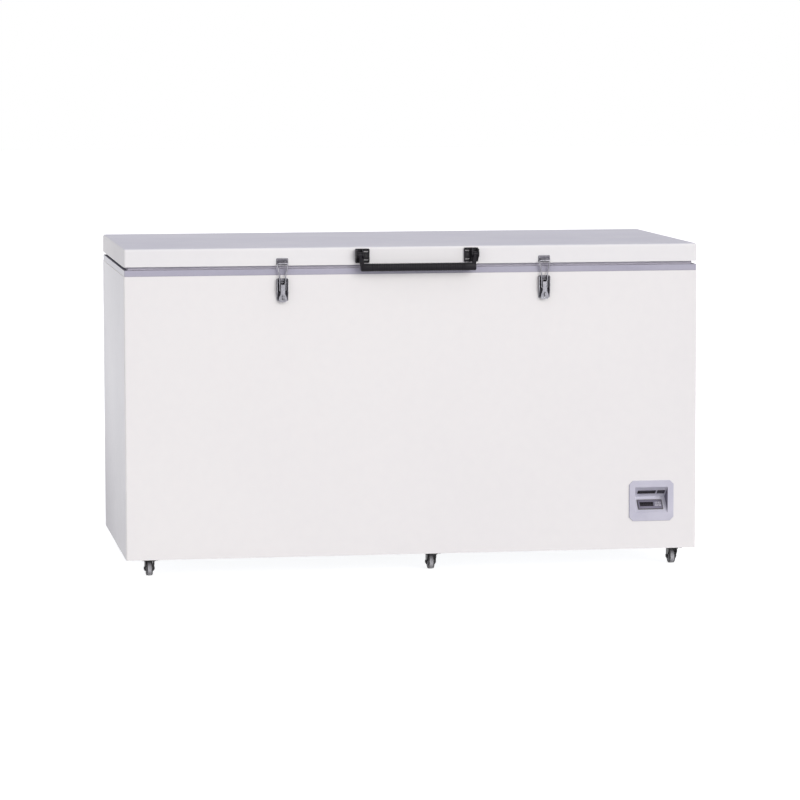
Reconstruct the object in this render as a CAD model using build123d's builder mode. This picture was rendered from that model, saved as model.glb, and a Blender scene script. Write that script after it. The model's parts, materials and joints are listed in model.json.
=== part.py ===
# Chest ultra low temperature freezer.
# The origin is on the floor under the middle of the cabinet. X runs along the cabinet,
# -Y points to the front, where the latches and the control panel are, and +Z is up.
# All sizes are in millimetres.

import math
import os

from build123d import *

os.makedirs("parts", exist_ok=True)

# Cabinet
WIDTH = 1800.0
DEPTH = 840.0
CASTER_HEIGHT = 60.0
BODY_TOP = 938.0
SHEET = 1.2
CORNER_RADIUS = 5.0
PANEL_RETURN = 14.0
SEAM = 0.4
BASE_SHEET = 2.0
BASE_FLANGE = 30.0

# Collar, gasket and lid
COLLAR_HEIGHT = 19.0
COLLAR_INSET = 1.5
COLLAR_WALL = 3.0
GASKET_GAP = 10.0
GASKET_INSET = 13.0
GASKET_WIDTH = 26.0
SOFT_CLEARANCE = 0.3
SKIRT = 56.0
LID_EDGE_RADIUS = 8.0
LID_RETURN = 10.0
LID_LINER = 2.5
PLUG_CLEARANCE = 16.0
PLUG_DEPTH = 42.0
PLUG_TAPER = 6.0

# Storage tank
WALL = 110.0
LINER = 1.0
MOUTH_RADIUS = 30.0
FLOOR_FOAM = 110.0
BAY_WIDTH = 400.0
BAY_HEIGHT = 410.0
BAY_WALL = 100.0
SHELF_FOAM = 98.0
COIL_TUBE = 8.0
COIL_SPACE = 9.0
COIL_BEND = 10.0
COIL_TURNS = 3
COIL_PITCH = 80.0
COIL_START = 50.0
COIL_STEP = 30.0

# Lid hinges
HINGE_INSET = 300.0
HINGE_BACK = 25.0
HINGE_BELOW_TOP = 23.0
HINGE_LEAF = 4.0
HINGE_EAR = 5.0
HINGE_EYE = 12.0
HINGE_PIN = 10.0
HINGE_PIN_HEAD = 7.0
HINGE_LEAF_WIDTH = 90.0
HINGE_LID_WIDTH = 44.0
HINGE_LEAF_TOP = 18.0
HINGE_LEAF_HEIGHT = 90.0
RUNNING_CLEARANCE = 0.05
SIDE_CLEARANCE = 0.5

# Lift handle
HANDLE_X = 9.0
BRACKET_SPACING = 341.0
BAR_LENGTH = 360.0
BRACKET_SIZE = 44.0
BRACKET_BASE = 6.0
BRACKET_CHEEK = 4.0
BRACKET_EYE = 10.0
HANDLE_PIVOT_OUT = 18.0
HANDLE_PIVOT_UP = 31.0
HANDLE_PIN = 6.0
HANDLE_HUB = 9.0
BAR_OUT = 35.0
BAR_DROP = 37.5
BAR_HEIGHT = 24.0
BAR_DEPTH = 26.0
BAR_END_RADIUS = 3.0
ARM_THICK = 13.0
ARM_ROOT = 5.0
ARM_SHIFT = 10.5
SLOT_WIDTH = 15.0
SLOT_HEIGHT = 3.6
SLOT_SPACING = 26.0
SLOT_MARGIN = 3.0

# Toggle latches
LATCH_X = 411.0
LATCH_PLATE = 2.0
LATCH_WIDTH = 36.0
LATCH_CHEEK = 2.0
LATCH_CHEEK_OUT = 12.0
LATCH_BASE_TOP = 13.0
LATCH_BASE_LOW = 57.0
LATCH_PIVOT_OUT = 5.5
LATCH_PIVOT_DROP = 23.0
LATCH_PIN = 4.0
BAIL_PIVOT_OUT = 11.0
BAIL_PIVOT_DROP = 25.0
BAIL_WIRE = 4.0
BAIL_FOOT = 9.5
BAIL_TOP = 15.5
BAIL_KINK = 21.0
BAIL_SPREAD = 30.0
BAIL_BEND = 3.0
LEVER_WALL = 1.5
LEVER_HALF = 6.5
LEVER_FACE_OUT = 15.5
LEVER_LENGTH = 60.0
LEVER_TAB = 12.0
LEVER_TAB_LENGTH = 13.0
LEVER_EYE = 3.3
LEVER_WEB_DROP = 6.0
LEVER_FOOT = 4.0
KEEPER_UP = 3.0
KEEPER_HEIGHT = 20.0
KEEPER_WIDTH = 37.0
HOOK_WIDTH = 22.0
HOOK_OUT = 8.5
HOOK_LIP = 10.0
EYE_PLATE = 2.5
EYE_OUT = 22.0
EYE_HEIGHT = 10.0
EYE_DROP = 45.0
LATCH_CORNER = 3.0
EYE_WALL = 2.0

# Control panel
PANEL_INSET = 143.0
PANEL_Z = 212.0
PANEL_WIDTH = 143.0
PANEL_HEIGHT = 128.0
PANEL_CORNER = 12.0
PANEL_PROUD = 3.0
PANEL_WALL = 2.5
RECESS_WIDTH = 105.0
RECESS_BOTTOM = -38.0
RECESS_TOP = 43.0
RECESS_FOLD = 7.0
RECESS_DEPTH = 46.0
MODULE_WIDTH = 77.0
MODULE_HEIGHT = 34.5
MODULE_BEZEL = 3.0
MODULE_BODY_WIDTH = 70.8
MODULE_BODY_HEIGHT = 28.8
MODULE_DEPTH = 58.0
CUTOUT_CLEARANCE = 0.1
DISPLAY_WIDTH = 44.0
DISPLAY_HEIGHT = 17.0
DISPLAY_SHIFT = -11.0
DISPLAY_THICK = 1.2
KEY_WIDTH = 8.4
KEY_HEIGHT = 7.0
KEY_PITCH_X = 10.4
KEY_PITCH_Y = 9.6
KEY_SHIFT = 25.6
KEY_PROUD = 1.0
KEY_TRAVEL = 0.8
KEY_FLOOR = 1.0
KEY_CLEARANCE = 0.15
STRIP_WIDTH = 56.0
STRIP_HEIGHT = 12.0
STRIP_SHIFT = -10.5
STRIP_PROUD = 0.4
SWITCH_SHIFT = 35.5
SWITCH_WIDTH = 23.0
SWITCH_HEIGHT = 15.0
SWITCH_BEZEL = 1.5
SWITCH_LAP_X = 2.0
SWITCH_LAP_Y = 1.0
SWITCH_DEPTH = 16.0
ROCKER_OPENING = 17.0
ROCKER_BREADTH = 10.6
ROCKER_HALF = 7.8
ROCKER_TILT = 8.0
ROCKER_RISE = 2.4
ROCKER_DIP = 1.0
ROCKER_UNDER = 1.2
ROCKER_TRUNNION = 3.0
ROCKER_WELL = 5.0

# Machine compartment
COMPRESSOR_INSET = 260.0
COMPRESSOR_FRONT = 210.0
COMPRESSOR_REAR = 310.0
COMPRESSOR_RADIUS = 82.0
COMPRESSOR_HEIGHT = 208.0
COMPRESSOR_DOME = 45.0
COMPRESSOR_LIFT = 20.0
FOOT_HALF = 72.0
FOOT_RADIUS = 14.0
FOOT_PLATE = 4.0
STUB_RADIUS = 6.0
STUB_LENGTH = 12.0
CONDENSER_INSET = 32.0
CONDENSER_THICK = 36.0
CONDENSER_Y = -10.0
CONDENSER_WIDTH = 300.0
CONDENSER_HEIGHT = 300.0
CONDENSER_LIFT = 8.0
HEADER_RADIUS = 9.0
HEADER_LAP = 2.0
FIN_PITCH = 20.0
FIN_DEPTH = 3.0
FAN_RADIUS = 105.0
FAN_TIP_GAP = 5.0
FAN_BLADES = 5
FAN_HUB = 24.0
FAN_DEPTH = 24.0
BLADE_THICK = 1.6
BLADE_ROOT_ANGLE = 48.0
BLADE_TIP_ANGLE = 22.0
BLADE_LAP = 4.0
SHROUD_SHEET = 2.0
SHROUD_STANDOFF = 10.0
MOTOR_RADIUS = 34.0
MOTOR_LENGTH = 46.0
SHAFT_RADIUS = 4.0
EXCHANGER_RADIUS = 55.0
EXCHANGER_HEIGHT = 290.0
EXCHANGER_INSET = 320.0
VESSEL_INSET = 100.0
SEPARATOR_RADIUS = 32.0
SEPARATOR_HEIGHT = 190.0
SEPARATOR_INSET = 200.0
PIPE_RADIUS = 5.0
PIPE_BEND = 22.0
PIPE_TOP = 420.0
BOX_WIDTH = 120.0
BOX_DEPTH = 70.0
BOX_HEIGHT = 150.0
BOX_RADIUS = 4.0
BOX_INSET = 100.0
BOX_LIFT = 150.0
INLET_INSET = 100.0
INLET_LIFT = 70.0
INLET_WIDTH = 50.0
INLET_HEIGHT = 32.0
INLET_FLANGE = 3.0
INLET_LAP_X = 8.0
INLET_LAP_Y = 2.0
INLET_DEPTH = 34.0
INLET_WALL_X = 7.5
INLET_WALL_Y = 6.0
INLET_SOCKET = 22.0
INLET_PIN_PITCH = 9.0
INLET_PIN_WIDTH = 2.0
INLET_PIN_HEIGHT = 6.0
INLET_PIN_SUNK = 4.0
GRILLE_FRAME = 10.0
GRILLE_PROUD = 1.5
GRILLE_SLOTS = 13
GRILLE_SLOT = 10.0
SIDE_GRILLE_WIDTH = 290.0
SIDE_GRILLE_HEIGHT = 290.0
SIDE_GRILLE_Y = -10.0
REAR_GRILLE_INSET = 280.0
REAR_GRILLE_WIDTH = 190.0
GRILLE_LIFT = 190.0
PORT_RADIUS = 17.0
PORT_WALL = 1.5
PORT_INSET = 400.0
PORT_CLEARANCE = 0.3
PORT_DROP = 160.0
PORT_FLANGE = 30.0
PORT_CAP = 8.0
SPACER_REACH = 48.0
SPACER_SIZE = 40.0
SPACER_INSET = 200.0
SPACER_HEIGHTS = (560.0, 780.0)

# Casters
CASTER_LEFT_INSET = 78.0
CASTER_MIDDLE = 66.0
CASTER_RIGHT_INSET = 58.0
CASTER_INSET = 70.0
CASTER_TRAIL = 18.0
WHEEL_DIAMETER = 46.0
WHEEL_WIDTH = 20.0
HUB_WIDTH = 23.0
HUB_RADIUS = 8.0
WHEEL_BEVEL = 3.0
AXLE_RADIUS = 3.0
AXLE_HEAD = 5.0
CASTER_PLATE = 3.0
CASTER_PLATE_SIZE = 60.0
CASTER_HOLES = 44.0
CASTER_HOLE_RADIUS = 3.3
FORK_SHEET = 2.5
FORK_RADIUS = 20.0
FORK_LEG = 9.0
RACE_RADIUS = 17.0
KINGPIN_RADIUS = 4.0
KINGPIN_HEAD = 6.5
CASTER_GAP = 0.3
SCREW_HEAD = 5.0
SCREW_RISE = 2.6

# Planes and edges that the sizes above give
FRONT = -DEPTH / 2
REAR = DEPTH / 2
SIDE = WIDTH / 2
INSIDE_X = SIDE - SHEET
HINGE_OFFSETS = (-(SIDE - HINGE_INSET), 0, SIDE - HINGE_INSET)
CASTER_X = (-(SIDE - CASTER_LEFT_INSET), CASTER_MIDDLE, SIDE - CASTER_RIGHT_INSET)
PANEL_X = SIDE - PANEL_INSET
COMPRESSOR_X = SIDE - COMPRESSOR_INSET
COMPRESSOR_Y = (FRONT + COMPRESSOR_FRONT, REAR - COMPRESSOR_REAR)
CONDENSER_X = SIDE - CONDENSER_INSET
EXCHANGER_X = SIDE - EXCHANGER_INSET
SEPARATOR_X = SIDE - SEPARATOR_INSET
VESSEL_Y = REAR - VESSEL_INSET
BOX_X = SIDE - BOX_INSET
INLET_X = SIDE - INLET_INSET
REAR_GRILLE_X = SIDE - REAR_GRILLE_INSET
PORT_X = PORT_INSET - SIDE
SPACER_X = SIDE - SPACER_INSET
INSIDE_Y = REAR - SHEET
PAN_TOP = CASTER_HEIGHT + BASE_SHEET
COLLAR_TOP = BODY_TOP + COLLAR_HEIGHT
LID_BOTTOM = COLLAR_TOP + GASKET_GAP
LID_TOP = LID_BOTTOM + SKIRT
LID_LINER_BOTTOM = LID_BOTTOM + SHEET
TANK_X = SIDE - WALL
TANK_Y = REAR - WALL
TANK_FLOOR = PAN_TOP + FLOOR_FOAM
TANK_STEP = SIDE - BAY_WIDTH - BAY_WALL
BAY_LEFT = SIDE - BAY_WIDTH
BAY_TOP = PAN_TOP + BAY_HEIGHT
SHELF = BAY_TOP + SHELF_FOAM
TANK_TOP = COLLAR_TOP - COLLAR_WALL


def block(x_range, y_range, z_range, mode=Mode.ADD):
    """Adds or cuts a box that runs between the given faces."""
    sizes = [high - low for low, high in (x_range, y_range, z_range)]
    middle = [(low + high) / 2 for low, high in (x_range, y_range, z_range)]
    with Locations(tuple(middle)):
        Box(*sizes, mode=mode)


def ring(half_x, half_y, width, z_range):
    """Adds a rectangular ring of one width."""
    block((-half_x, half_x), (-half_y, half_y), z_range)
    inner_x = half_x - width
    inner_y = half_y - width
    block((-inner_x, inner_x), (-inner_y, inner_y), z_range, mode=Mode.SUBTRACT)


def cross_plane(x):
    """A plane across X whose sketch axes are Y and Z."""
    return Plane(origin=(x, 0, 0), x_dir=(0, 1, 0), z_dir=(1, 0, 0))


def save(shape, name):
    """Labels a finished piece and writes it."""
    shape.label = name
    export_step(shape, "parts/" + name + ".step")


def end_panel(direction):
    """Front or rear sheet, folded round both corners. direction is -1 at the front."""
    face_y = direction * REAR
    inner_y = face_y - direction * SHEET
    back_y = face_y - direction * PANEL_RETURN
    with BuildPart() as panel:
        with BuildSketch(Plane.XY.offset(CASTER_HEIGHT)):
            with Locations((0, (face_y + back_y) / 2)):
                Rectangle(WIDTH, PANEL_RETURN)
            fillet(vertices().sort_by(Axis.Y, reverse=direction > 0)[:2], CORNER_RADIUS)
        extrude(amount=BODY_TOP - CASTER_HEIGHT)
        with BuildSketch(Plane.XY.offset(CASTER_HEIGHT)):
            with Locations((0, (inner_y + back_y) / 2)):
                Rectangle(2 * INSIDE_X, PANEL_RETURN - SHEET)
            corners = vertices().sort_by(Axis.Y, reverse=direction > 0)[:2]
            fillet(corners, CORNER_RADIUS - SHEET)
        extrude(amount=BODY_TOP - CASTER_HEIGHT, mode=Mode.SUBTRACT)
    return panel


# Front panel, with the window that the control panel drops into
window_half = RECESS_WIDTH / 2 + PANEL_WALL + SIDE_CLEARANCE
window_low = PANEL_Z + RECESS_BOTTOM - 2 * PANEL_WALL - SIDE_CLEARANCE
window_high = PANEL_Z + RECESS_TOP + 2 * PANEL_WALL + SIDE_CLEARANCE
front_sheet = end_panel(-1)
with BuildPart() as front_panel:
    add(front_sheet.part)
    block(
        (PANEL_X - window_half, PANEL_X + window_half),
        (FRONT - SHEET, FRONT + 2 * SHEET),
        (window_low, window_high),
        mode=Mode.SUBTRACT,
    )
save(front_panel.part, "front_panel")

# Rear panel, with openings for the air grille, the power inlet and the probe port
grille_bottom = PAN_TOP + GRILLE_LIFT - SIDE_GRILLE_HEIGHT / 2
grille_top = PAN_TOP + GRILLE_LIFT + SIDE_GRILLE_HEIGHT / 2
port_z = BODY_TOP - PORT_DROP
inlet_z = PAN_TOP + INLET_LIFT
inlet_half = INLET_WIDTH / 2
rear_grille_half = REAR_GRILLE_WIDTH / 2
rear_sheet = end_panel(1)
with BuildPart() as rear_panel:
    add(rear_sheet.part)
    block(
        (REAR_GRILLE_X - rear_grille_half, REAR_GRILLE_X + rear_grille_half),
        (REAR - 2 * SHEET, REAR + SHEET),
        (grille_bottom, grille_top),
        mode=Mode.SUBTRACT,
    )
    block(
        (INLET_X - inlet_half, INLET_X + inlet_half),
        (REAR - 2 * SHEET, REAR + SHEET),
        (inlet_z - INLET_HEIGHT / 2, inlet_z + INLET_HEIGHT / 2),
        mode=Mode.SUBTRACT,
    )
    with BuildSketch(Plane(origin=(PORT_X, REAR, port_z), x_dir=(1, 0, 0), z_dir=(0, -1, 0))):
        Circle(PORT_RADIUS + PORT_WALL + PORT_CLEARANCE)
    extrude(amount=2 * SHEET, mode=Mode.SUBTRACT)
save(rear_panel.part, "rear_panel")

# Side panels between the folded corners
side_end = REAR - PANEL_RETURN - SEAM
side_grille_half = SIDE_GRILLE_WIDTH / 2
with BuildPart() as left_side_panel:
    block((-SIDE, -INSIDE_X), (-side_end, side_end), (CASTER_HEIGHT, BODY_TOP))
save(left_side_panel.part, "left_side_panel")

with BuildPart() as right_side_panel:
    block((INSIDE_X, SIDE), (-side_end, side_end), (CASTER_HEIGHT, BODY_TOP))
    block(
        (INSIDE_X - SHEET, SIDE + SHEET),
        (SIDE_GRILLE_Y - side_grille_half, SIDE_GRILLE_Y + side_grille_half),
        (grille_bottom, grille_top),
        mode=Mode.SUBTRACT,
    )
save(right_side_panel.part, "right_side_panel")

# Base pan with upturned flanges and the bolt holes of the casters
caster_y = REAR - CASTER_INSET
with BuildPart() as base_pan:
    block((-INSIDE_X, INSIDE_X), (-INSIDE_Y, INSIDE_Y), (CASTER_HEIGHT, PAN_TOP + BASE_FLANGE))
    fillet(edges().filter_by(Axis.Z), CORNER_RADIUS - SHEET)
    pan_x = INSIDE_X - BASE_SHEET
    pan_y = INSIDE_Y - BASE_SHEET
    block((-pan_x, pan_x), (-pan_y, pan_y), (PAN_TOP, PAN_TOP + BASE_FLANGE), mode=Mode.SUBTRACT)
    with Locations(*[(x, side * caster_y, CASTER_HEIGHT) for x in CASTER_X for side in (-1, 1)]):
        with GridLocations(CASTER_HOLES, CASTER_HOLES, 2, 2):
            Cylinder(CASTER_HOLE_RADIUS, 4 * BASE_SHEET, mode=Mode.SUBTRACT)
save(base_pan.part, "base_pan")


# Inner liner: a tank welded from flat sheets, with a step over the machine compartment
tank_out_x = TANK_X + LINER
tank_out_y = TANK_Y + LINER
step_out = TANK_STEP + LINER
floor_low = TANK_FLOOR - LINER
shelf_low = SHELF - LINER


def plain_block(x_range, y_range, z_range):
    """A separate box that runs between the given faces."""
    with BuildPart() as piece:
        block(x_range, y_range, z_range)
    return piece.part


def long_wall(y):
    """Front or rear sheet of the tank, which follows the step."""
    with BuildPart() as wall:
        with BuildSketch(Plane.XZ.offset(-y)):
            with BuildLine():
                Polyline(
                    (-tank_out_x, floor_low),
                    (step_out, floor_low),
                    (step_out, shelf_low),
                    (tank_out_x, shelf_low),
                    (tank_out_x, TANK_TOP),
                    (-tank_out_x, TANK_TOP),
                    close=True,
                )
            make_face()
        extrude(amount=LINER)
    return wall.part


across = (-TANK_Y, TANK_Y)
tank_sheets = [
    long_wall(-TANK_Y),
    long_wall(tank_out_y),
    plain_block((-TANK_X, TANK_STEP), across, (floor_low, TANK_FLOOR)),
    plain_block((-tank_out_x, -TANK_X), across, (floor_low, TANK_TOP)),
    plain_block((TANK_STEP, step_out), across, (floor_low, shelf_low)),
    plain_block((TANK_STEP, tank_out_x), across, (shelf_low, SHELF)),
    plain_block((TANK_X, tank_out_x), across, (SHELF, TANK_TOP)),
]
save(Compound(children=tank_sheets), "inner_liner")

# Top collar: a moulded ring that bridges the outer sheets and the liner
collar_x = SIDE - COLLAR_INSET
collar_y = REAR - COLLAR_INSET
hollow_x = collar_x - COLLAR_WALL
hollow_y = collar_y - COLLAR_WALL
with BuildPart() as top_collar:
    block((-collar_x, collar_x), (-collar_y, collar_y), (BODY_TOP, COLLAR_TOP))
    fillet(edges().filter_by(Axis.Z), CORNER_RADIUS - COLLAR_INSET)
    block((-hollow_x, hollow_x), (-hollow_y, hollow_y), (BODY_TOP, TANK_TOP), mode=Mode.SUBTRACT)
    with BuildSketch(Plane.XY.offset(TANK_TOP)):
        RectangleRounded(2 * TANK_X, 2 * TANK_Y, MOUTH_RADIUS)
    extrude(amount=COLLAR_WALL, mode=Mode.SUBTRACT)
save(top_collar.part, "top_collar")

# Insulation slabs between the skins, with a space for the coil and the machine compartment
coil_low = TANK_FLOOR + COIL_START - COIL_TUBE
coil_high = TANK_FLOOR + COIL_START + (COIL_TURNS - 1) * COIL_PITCH + 2 * COIL_TUBE
coil_x = step_out + COIL_SPACE
coil_left = -tank_out_x - COIL_SPACE
coil_y = tank_out_y + COIL_SPACE
deep_z = (floor_low, BAY_TOP)
high_z = (BAY_TOP, BODY_TOP)


def slab(x_range, y_range, z_range, lip=None):
    """Foam slab between the given faces. lip gives the X and Y ranges of a step into the collar."""
    with BuildPart() as piece:
        block(x_range, y_range, z_range)
        if lip:
            block(lip[0], lip[1], (BODY_TOP, TANK_TOP))
        block((coil_left, coil_x), (-coil_y, coil_y), (coil_low, coil_high), mode=Mode.SUBTRACT)
        with BuildSketch(Plane(origin=(PORT_X, REAR, port_z), x_dir=(1, 0, 0), z_dir=(0, -1, 0))):
            Circle(PORT_RADIUS + PORT_WALL + PORT_CLEARANCE)
        extrude(amount=WALL - LINER, mode=Mode.SUBTRACT)
    return piece.part


pan_end = INSIDE_X - BASE_SHEET
pan_side = INSIDE_Y - BASE_SHEET
foam_end = INSIDE_X - CORNER_RADIUS
foam_slabs = [
    slab((-pan_end, BAY_LEFT), (-pan_side, pan_side), (PAN_TOP, floor_low)),
    slab(
        (-INSIDE_X, -tank_out_x),
        (-side_end, side_end),
        (floor_low, BODY_TOP),
        lip=((-hollow_x, -tank_out_x), (-side_end, side_end)),
    ),
    slab((step_out, BAY_LEFT), (-tank_out_y, tank_out_y), deep_z),
    slab((step_out, INSIDE_X), (-tank_out_y, tank_out_y), (BAY_TOP, shelf_low)),
    slab(
        (tank_out_x, INSIDE_X),
        (-tank_out_y, tank_out_y),
        (shelf_low, BODY_TOP),
        lip=((tank_out_x, hollow_x), (-tank_out_y, tank_out_y)),
    ),
]
for side in (-1, 1):
    inner = side * tank_out_y
    outer = side * INSIDE_Y
    lip_outer = side * hollow_y
    wall_y = (min(inner, outer), max(inner, outer))
    lip_y = (min(inner, lip_outer), max(inner, lip_outer))
    foam_slabs.append(slab((-tank_out_x, BAY_LEFT), wall_y, deep_z))
    foam_slabs.append(slab((-tank_out_x, foam_end), wall_y, high_z, lip=((-tank_out_x, foam_end), lip_y)))
save(Compound(children=foam_slabs), "cabinet_foam")

# Evaporator coil: flat turns of square tube round the lower tank, each joined to the next by a step
wind_x = (coil_left + SOFT_CLEARANCE, coil_x - SOFT_CLEARANCE)
wind_y = coil_y - SOFT_CLEARANCE
wind_middle = (wind_x[0] + wind_x[1]) / 2
wind_length = wind_x[1] - wind_x[0]
with BuildPart() as evaporator_coil:
    for turn in range(COIL_TURNS):
        turn_z = TANK_FLOOR + COIL_START + turn * COIL_PITCH
        with BuildSketch(Plane.XY.offset(turn_z)):
            with Locations((wind_middle, 0)):
                RectangleRounded(wind_length, 2 * wind_y, COIL_BEND)
                RectangleRounded(
                    wind_length - 2 * COIL_TUBE,
                    2 * (wind_y - COIL_TUBE),
                    COIL_BEND - COIL_TUBE,
                    mode=Mode.SUBTRACT,
                )
            with Locations((wind_x[0], 0)):
                Rectangle(4 * COIL_TUBE, 2 * COIL_STEP, mode=Mode.SUBTRACT)
        extrude(amount=COIL_TUBE)
    for turn in range(COIL_TURNS - 1):
        turn_z = TANK_FLOOR + COIL_START + turn * COIL_PITCH
        with BuildSketch(cross_plane(wind_x[0])):
            with BuildLine():
                Polyline(
                    (-COIL_STEP, turn_z),
                    (COIL_STEP, turn_z + COIL_PITCH),
                    (COIL_STEP, turn_z + COIL_PITCH + COIL_TUBE),
                    (-COIL_STEP, turn_z + COIL_TUBE),
                    close=True,
                )
            make_face()
        extrude(amount=COIL_TUBE)
save(evaporator_coil.part, "evaporator_coil")

# Lid: a painted pan with a folded skirt, open underneath


def lid_block(inset, bottom):
    """The lid's outer form, drawn in by inset and cut off at bottom."""
    with BuildPart() as form:
        half_x = SIDE - inset
        half_y = REAR - inset
        block((-half_x, half_x), (-half_y, half_y), (bottom, LID_TOP - inset))
        fillet(edges().filter_by(Axis.Z), LID_EDGE_RADIUS - inset)
        fillet(faces().sort_by(Axis.Z)[-1].edges(), LID_EDGE_RADIUS - inset)
    return form.part


lid_hollow = lid_block(SHEET, LID_LINER_BOTTOM)
return_x = SIDE - LID_RETURN
return_y = REAR - LID_RETURN
with BuildPart() as lid_pan:
    add(lid_block(0, LID_BOTTOM))
    add(lid_hollow, mode=Mode.SUBTRACT)
    block(
        (-return_x, return_x),
        (-return_y, return_y),
        (LID_BOTTOM - SHEET, LID_LINER_BOTTOM + SHEET),
        mode=Mode.SUBTRACT,
    )
save(lid_pan.part, "lid_pan")

# Lid liner: a flat flange with a tapered plug that fills the mouth of the tank
plug_x = TANK_X - PLUG_CLEARANCE
plug_y = TANK_Y - PLUG_CLEARANCE
plug_bottom = COLLAR_TOP - PLUG_DEPTH
plug_angle = math.degrees(math.atan2(PLUG_TAPER, LID_LINER_BOTTOM - plug_bottom))


def plug_block(inset, top):
    """The plug's form below the given height, drawn in by inset."""
    with BuildPart() as form:
        with BuildSketch(Plane.XY.offset(top)):
            RectangleRounded(2 * (plug_x - inset), 2 * (plug_y - inset), MOUTH_RADIUS - inset)
        extrude(amount=-(top - plug_bottom - inset), taper=plug_angle)
    return form.part


liner_x = INSIDE_X - SIDE_CLEARANCE
liner_y = INSIDE_Y - SIDE_CLEARANCE
liner_top = LID_LINER_BOTTOM + LID_LINER
plug_hollow = plug_block(LID_LINER, liner_top)
with BuildPart() as lid_inner_panel:
    block((-liner_x, liner_x), (-liner_y, liner_y), (LID_LINER_BOTTOM, liner_top))
    fillet(edges().filter_by(Axis.Z), LID_EDGE_RADIUS - SHEET)
    add(plug_block(0, LID_LINER_BOTTOM))
    add(plug_hollow, mode=Mode.SUBTRACT)
save(lid_inner_panel.part, "lid_inner_panel")

with BuildPart() as lid_foam:
    add(lid_block(SHEET, liner_top))
    add(plug_hollow)
save(lid_foam.part, "lid_foam")

# Gasket under the lid's rim, just above the collar at rest
with BuildPart() as lid_gasket:
    ring(
        SIDE - GASKET_INSET,
        REAR - GASKET_INSET,
        GASKET_WIDTH,
        (COLLAR_TOP + SOFT_CLEARANCE, LID_LINER_BOTTOM),
    )
save(lid_gasket.part, "lid_gasket")

# Lid hinges: leaves on the rear sheet and on the skirt, joined by pins
hinge_y = REAR + HINGE_BACK
hinge_z = LID_TOP - HINGE_BELOW_TOP
leaf_top = BODY_TOP - HINGE_LEAF_TOP
ear_out = HINGE_LEAF_WIDTH / 2
ear_in = HINGE_LID_WIDTH / 2


def cabinet_leaf():
    """Lower hinge leaf: a plate with two tall ears welded to its ends that reach up to the pin."""
    leaf_low = leaf_top - HINGE_LEAF_HEIGHT
    plate_end = ear_out - HINGE_EAR
    pieces = [plain_block((-plate_end, plate_end), (REAR, REAR + HINGE_LEAF), (leaf_low, leaf_top))]
    for low in (-ear_out, plate_end):
        with BuildPart() as ear:
            with BuildSketch(cross_plane(low)):
                with BuildLine():
                    Polyline(
                        (REAR, leaf_low),
                        (REAR + HINGE_LEAF, leaf_low),
                        (hinge_y + HINGE_EYE, leaf_top),
                        (hinge_y + HINGE_EYE, hinge_z),
                        (hinge_y - HINGE_EYE, hinge_z),
                        (hinge_y - HINGE_EYE, leaf_top),
                        (REAR, leaf_top - HINGE_EYE),
                        close=True,
                    )
                make_face()
                with Locations((hinge_y, hinge_z)):
                    Circle(HINGE_EYE)
                    Circle(HINGE_PIN / 2, mode=Mode.SUBTRACT)
            extrude(amount=HINGE_EAR)
        pieces.append(ear.part)
    return pieces


def lid_leaf():
    """Upper hinge leaf: a plate on the skirt with two short ears between the lower ones."""
    plate_low = LID_BOTTOM + SIDE_CLEARANCE
    plate_high = LID_TOP - LID_EDGE_RADIUS
    plate_end = ear_in - HINGE_EAR
    pieces = [plain_block((-plate_end, plate_end), (REAR, REAR + HINGE_LEAF), (plate_low, plate_high))]
    for low in (-ear_in, plate_end):
        with BuildPart() as ear:
            with BuildSketch(cross_plane(low)):
                with BuildLine():
                    Polyline(
                        (REAR, plate_low),
                        (REAR + HINGE_LEAF, plate_low),
                        (hinge_y + HINGE_EYE / 2, hinge_z - HINGE_EYE / 2),
                        (hinge_y, plate_high),
                        (REAR, plate_high),
                        close=True,
                    )
                make_face()
                with Locations((hinge_y, hinge_z)):
                    Circle(HINGE_EYE)
                    Circle(HINGE_PIN / 2 + RUNNING_CLEARANCE, mode=Mode.SUBTRACT)
            extrude(amount=HINGE_EAR)
        pieces.append(ear.part)
    return pieces


def hinge_pin():
    """Pin through all four ears, with a head at each end."""
    with BuildPart() as pin:
        with Locations((0, hinge_y, hinge_z)):
            Cylinder(HINGE_PIN / 2, HINGE_LEAF_WIDTH, rotation=(0, 90, 0))
        for side in (-1, 1):
            with Locations((side * (ear_out + HINGE_EAR / 4), hinge_y, hinge_z)):
                Cylinder(HINGE_PIN_HEAD, HINGE_EAR / 2, rotation=(0, 90, 0))
    return pin.part


def at_each(pieces, offsets):
    """One group that holds a copy of each piece at each offset along X."""
    return Compound(children=[piece.moved(Location((x, 0, 0))) for x in offsets for piece in pieces])


save(at_each(cabinet_leaf() + [hinge_pin()], HINGE_OFFSETS), "hinge_cabinet_leaves")
save(at_each(lid_leaf(), HINGE_OFFSETS), "hinge_lid_leaves")

# Lift handle: brackets on the skirt, a pin in each, and a bar that swings up
pivot_y = FRONT - HANDLE_PIVOT_OUT
pivot_z = LID_BOTTOM + HANDLE_PIVOT_UP
half_bracket = BRACKET_SIZE / 2
bracket_low = LID_BOTTOM + (SKIRT - BRACKET_SIZE) / 2
bracket_high = bracket_low + BRACKET_SIZE


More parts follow.
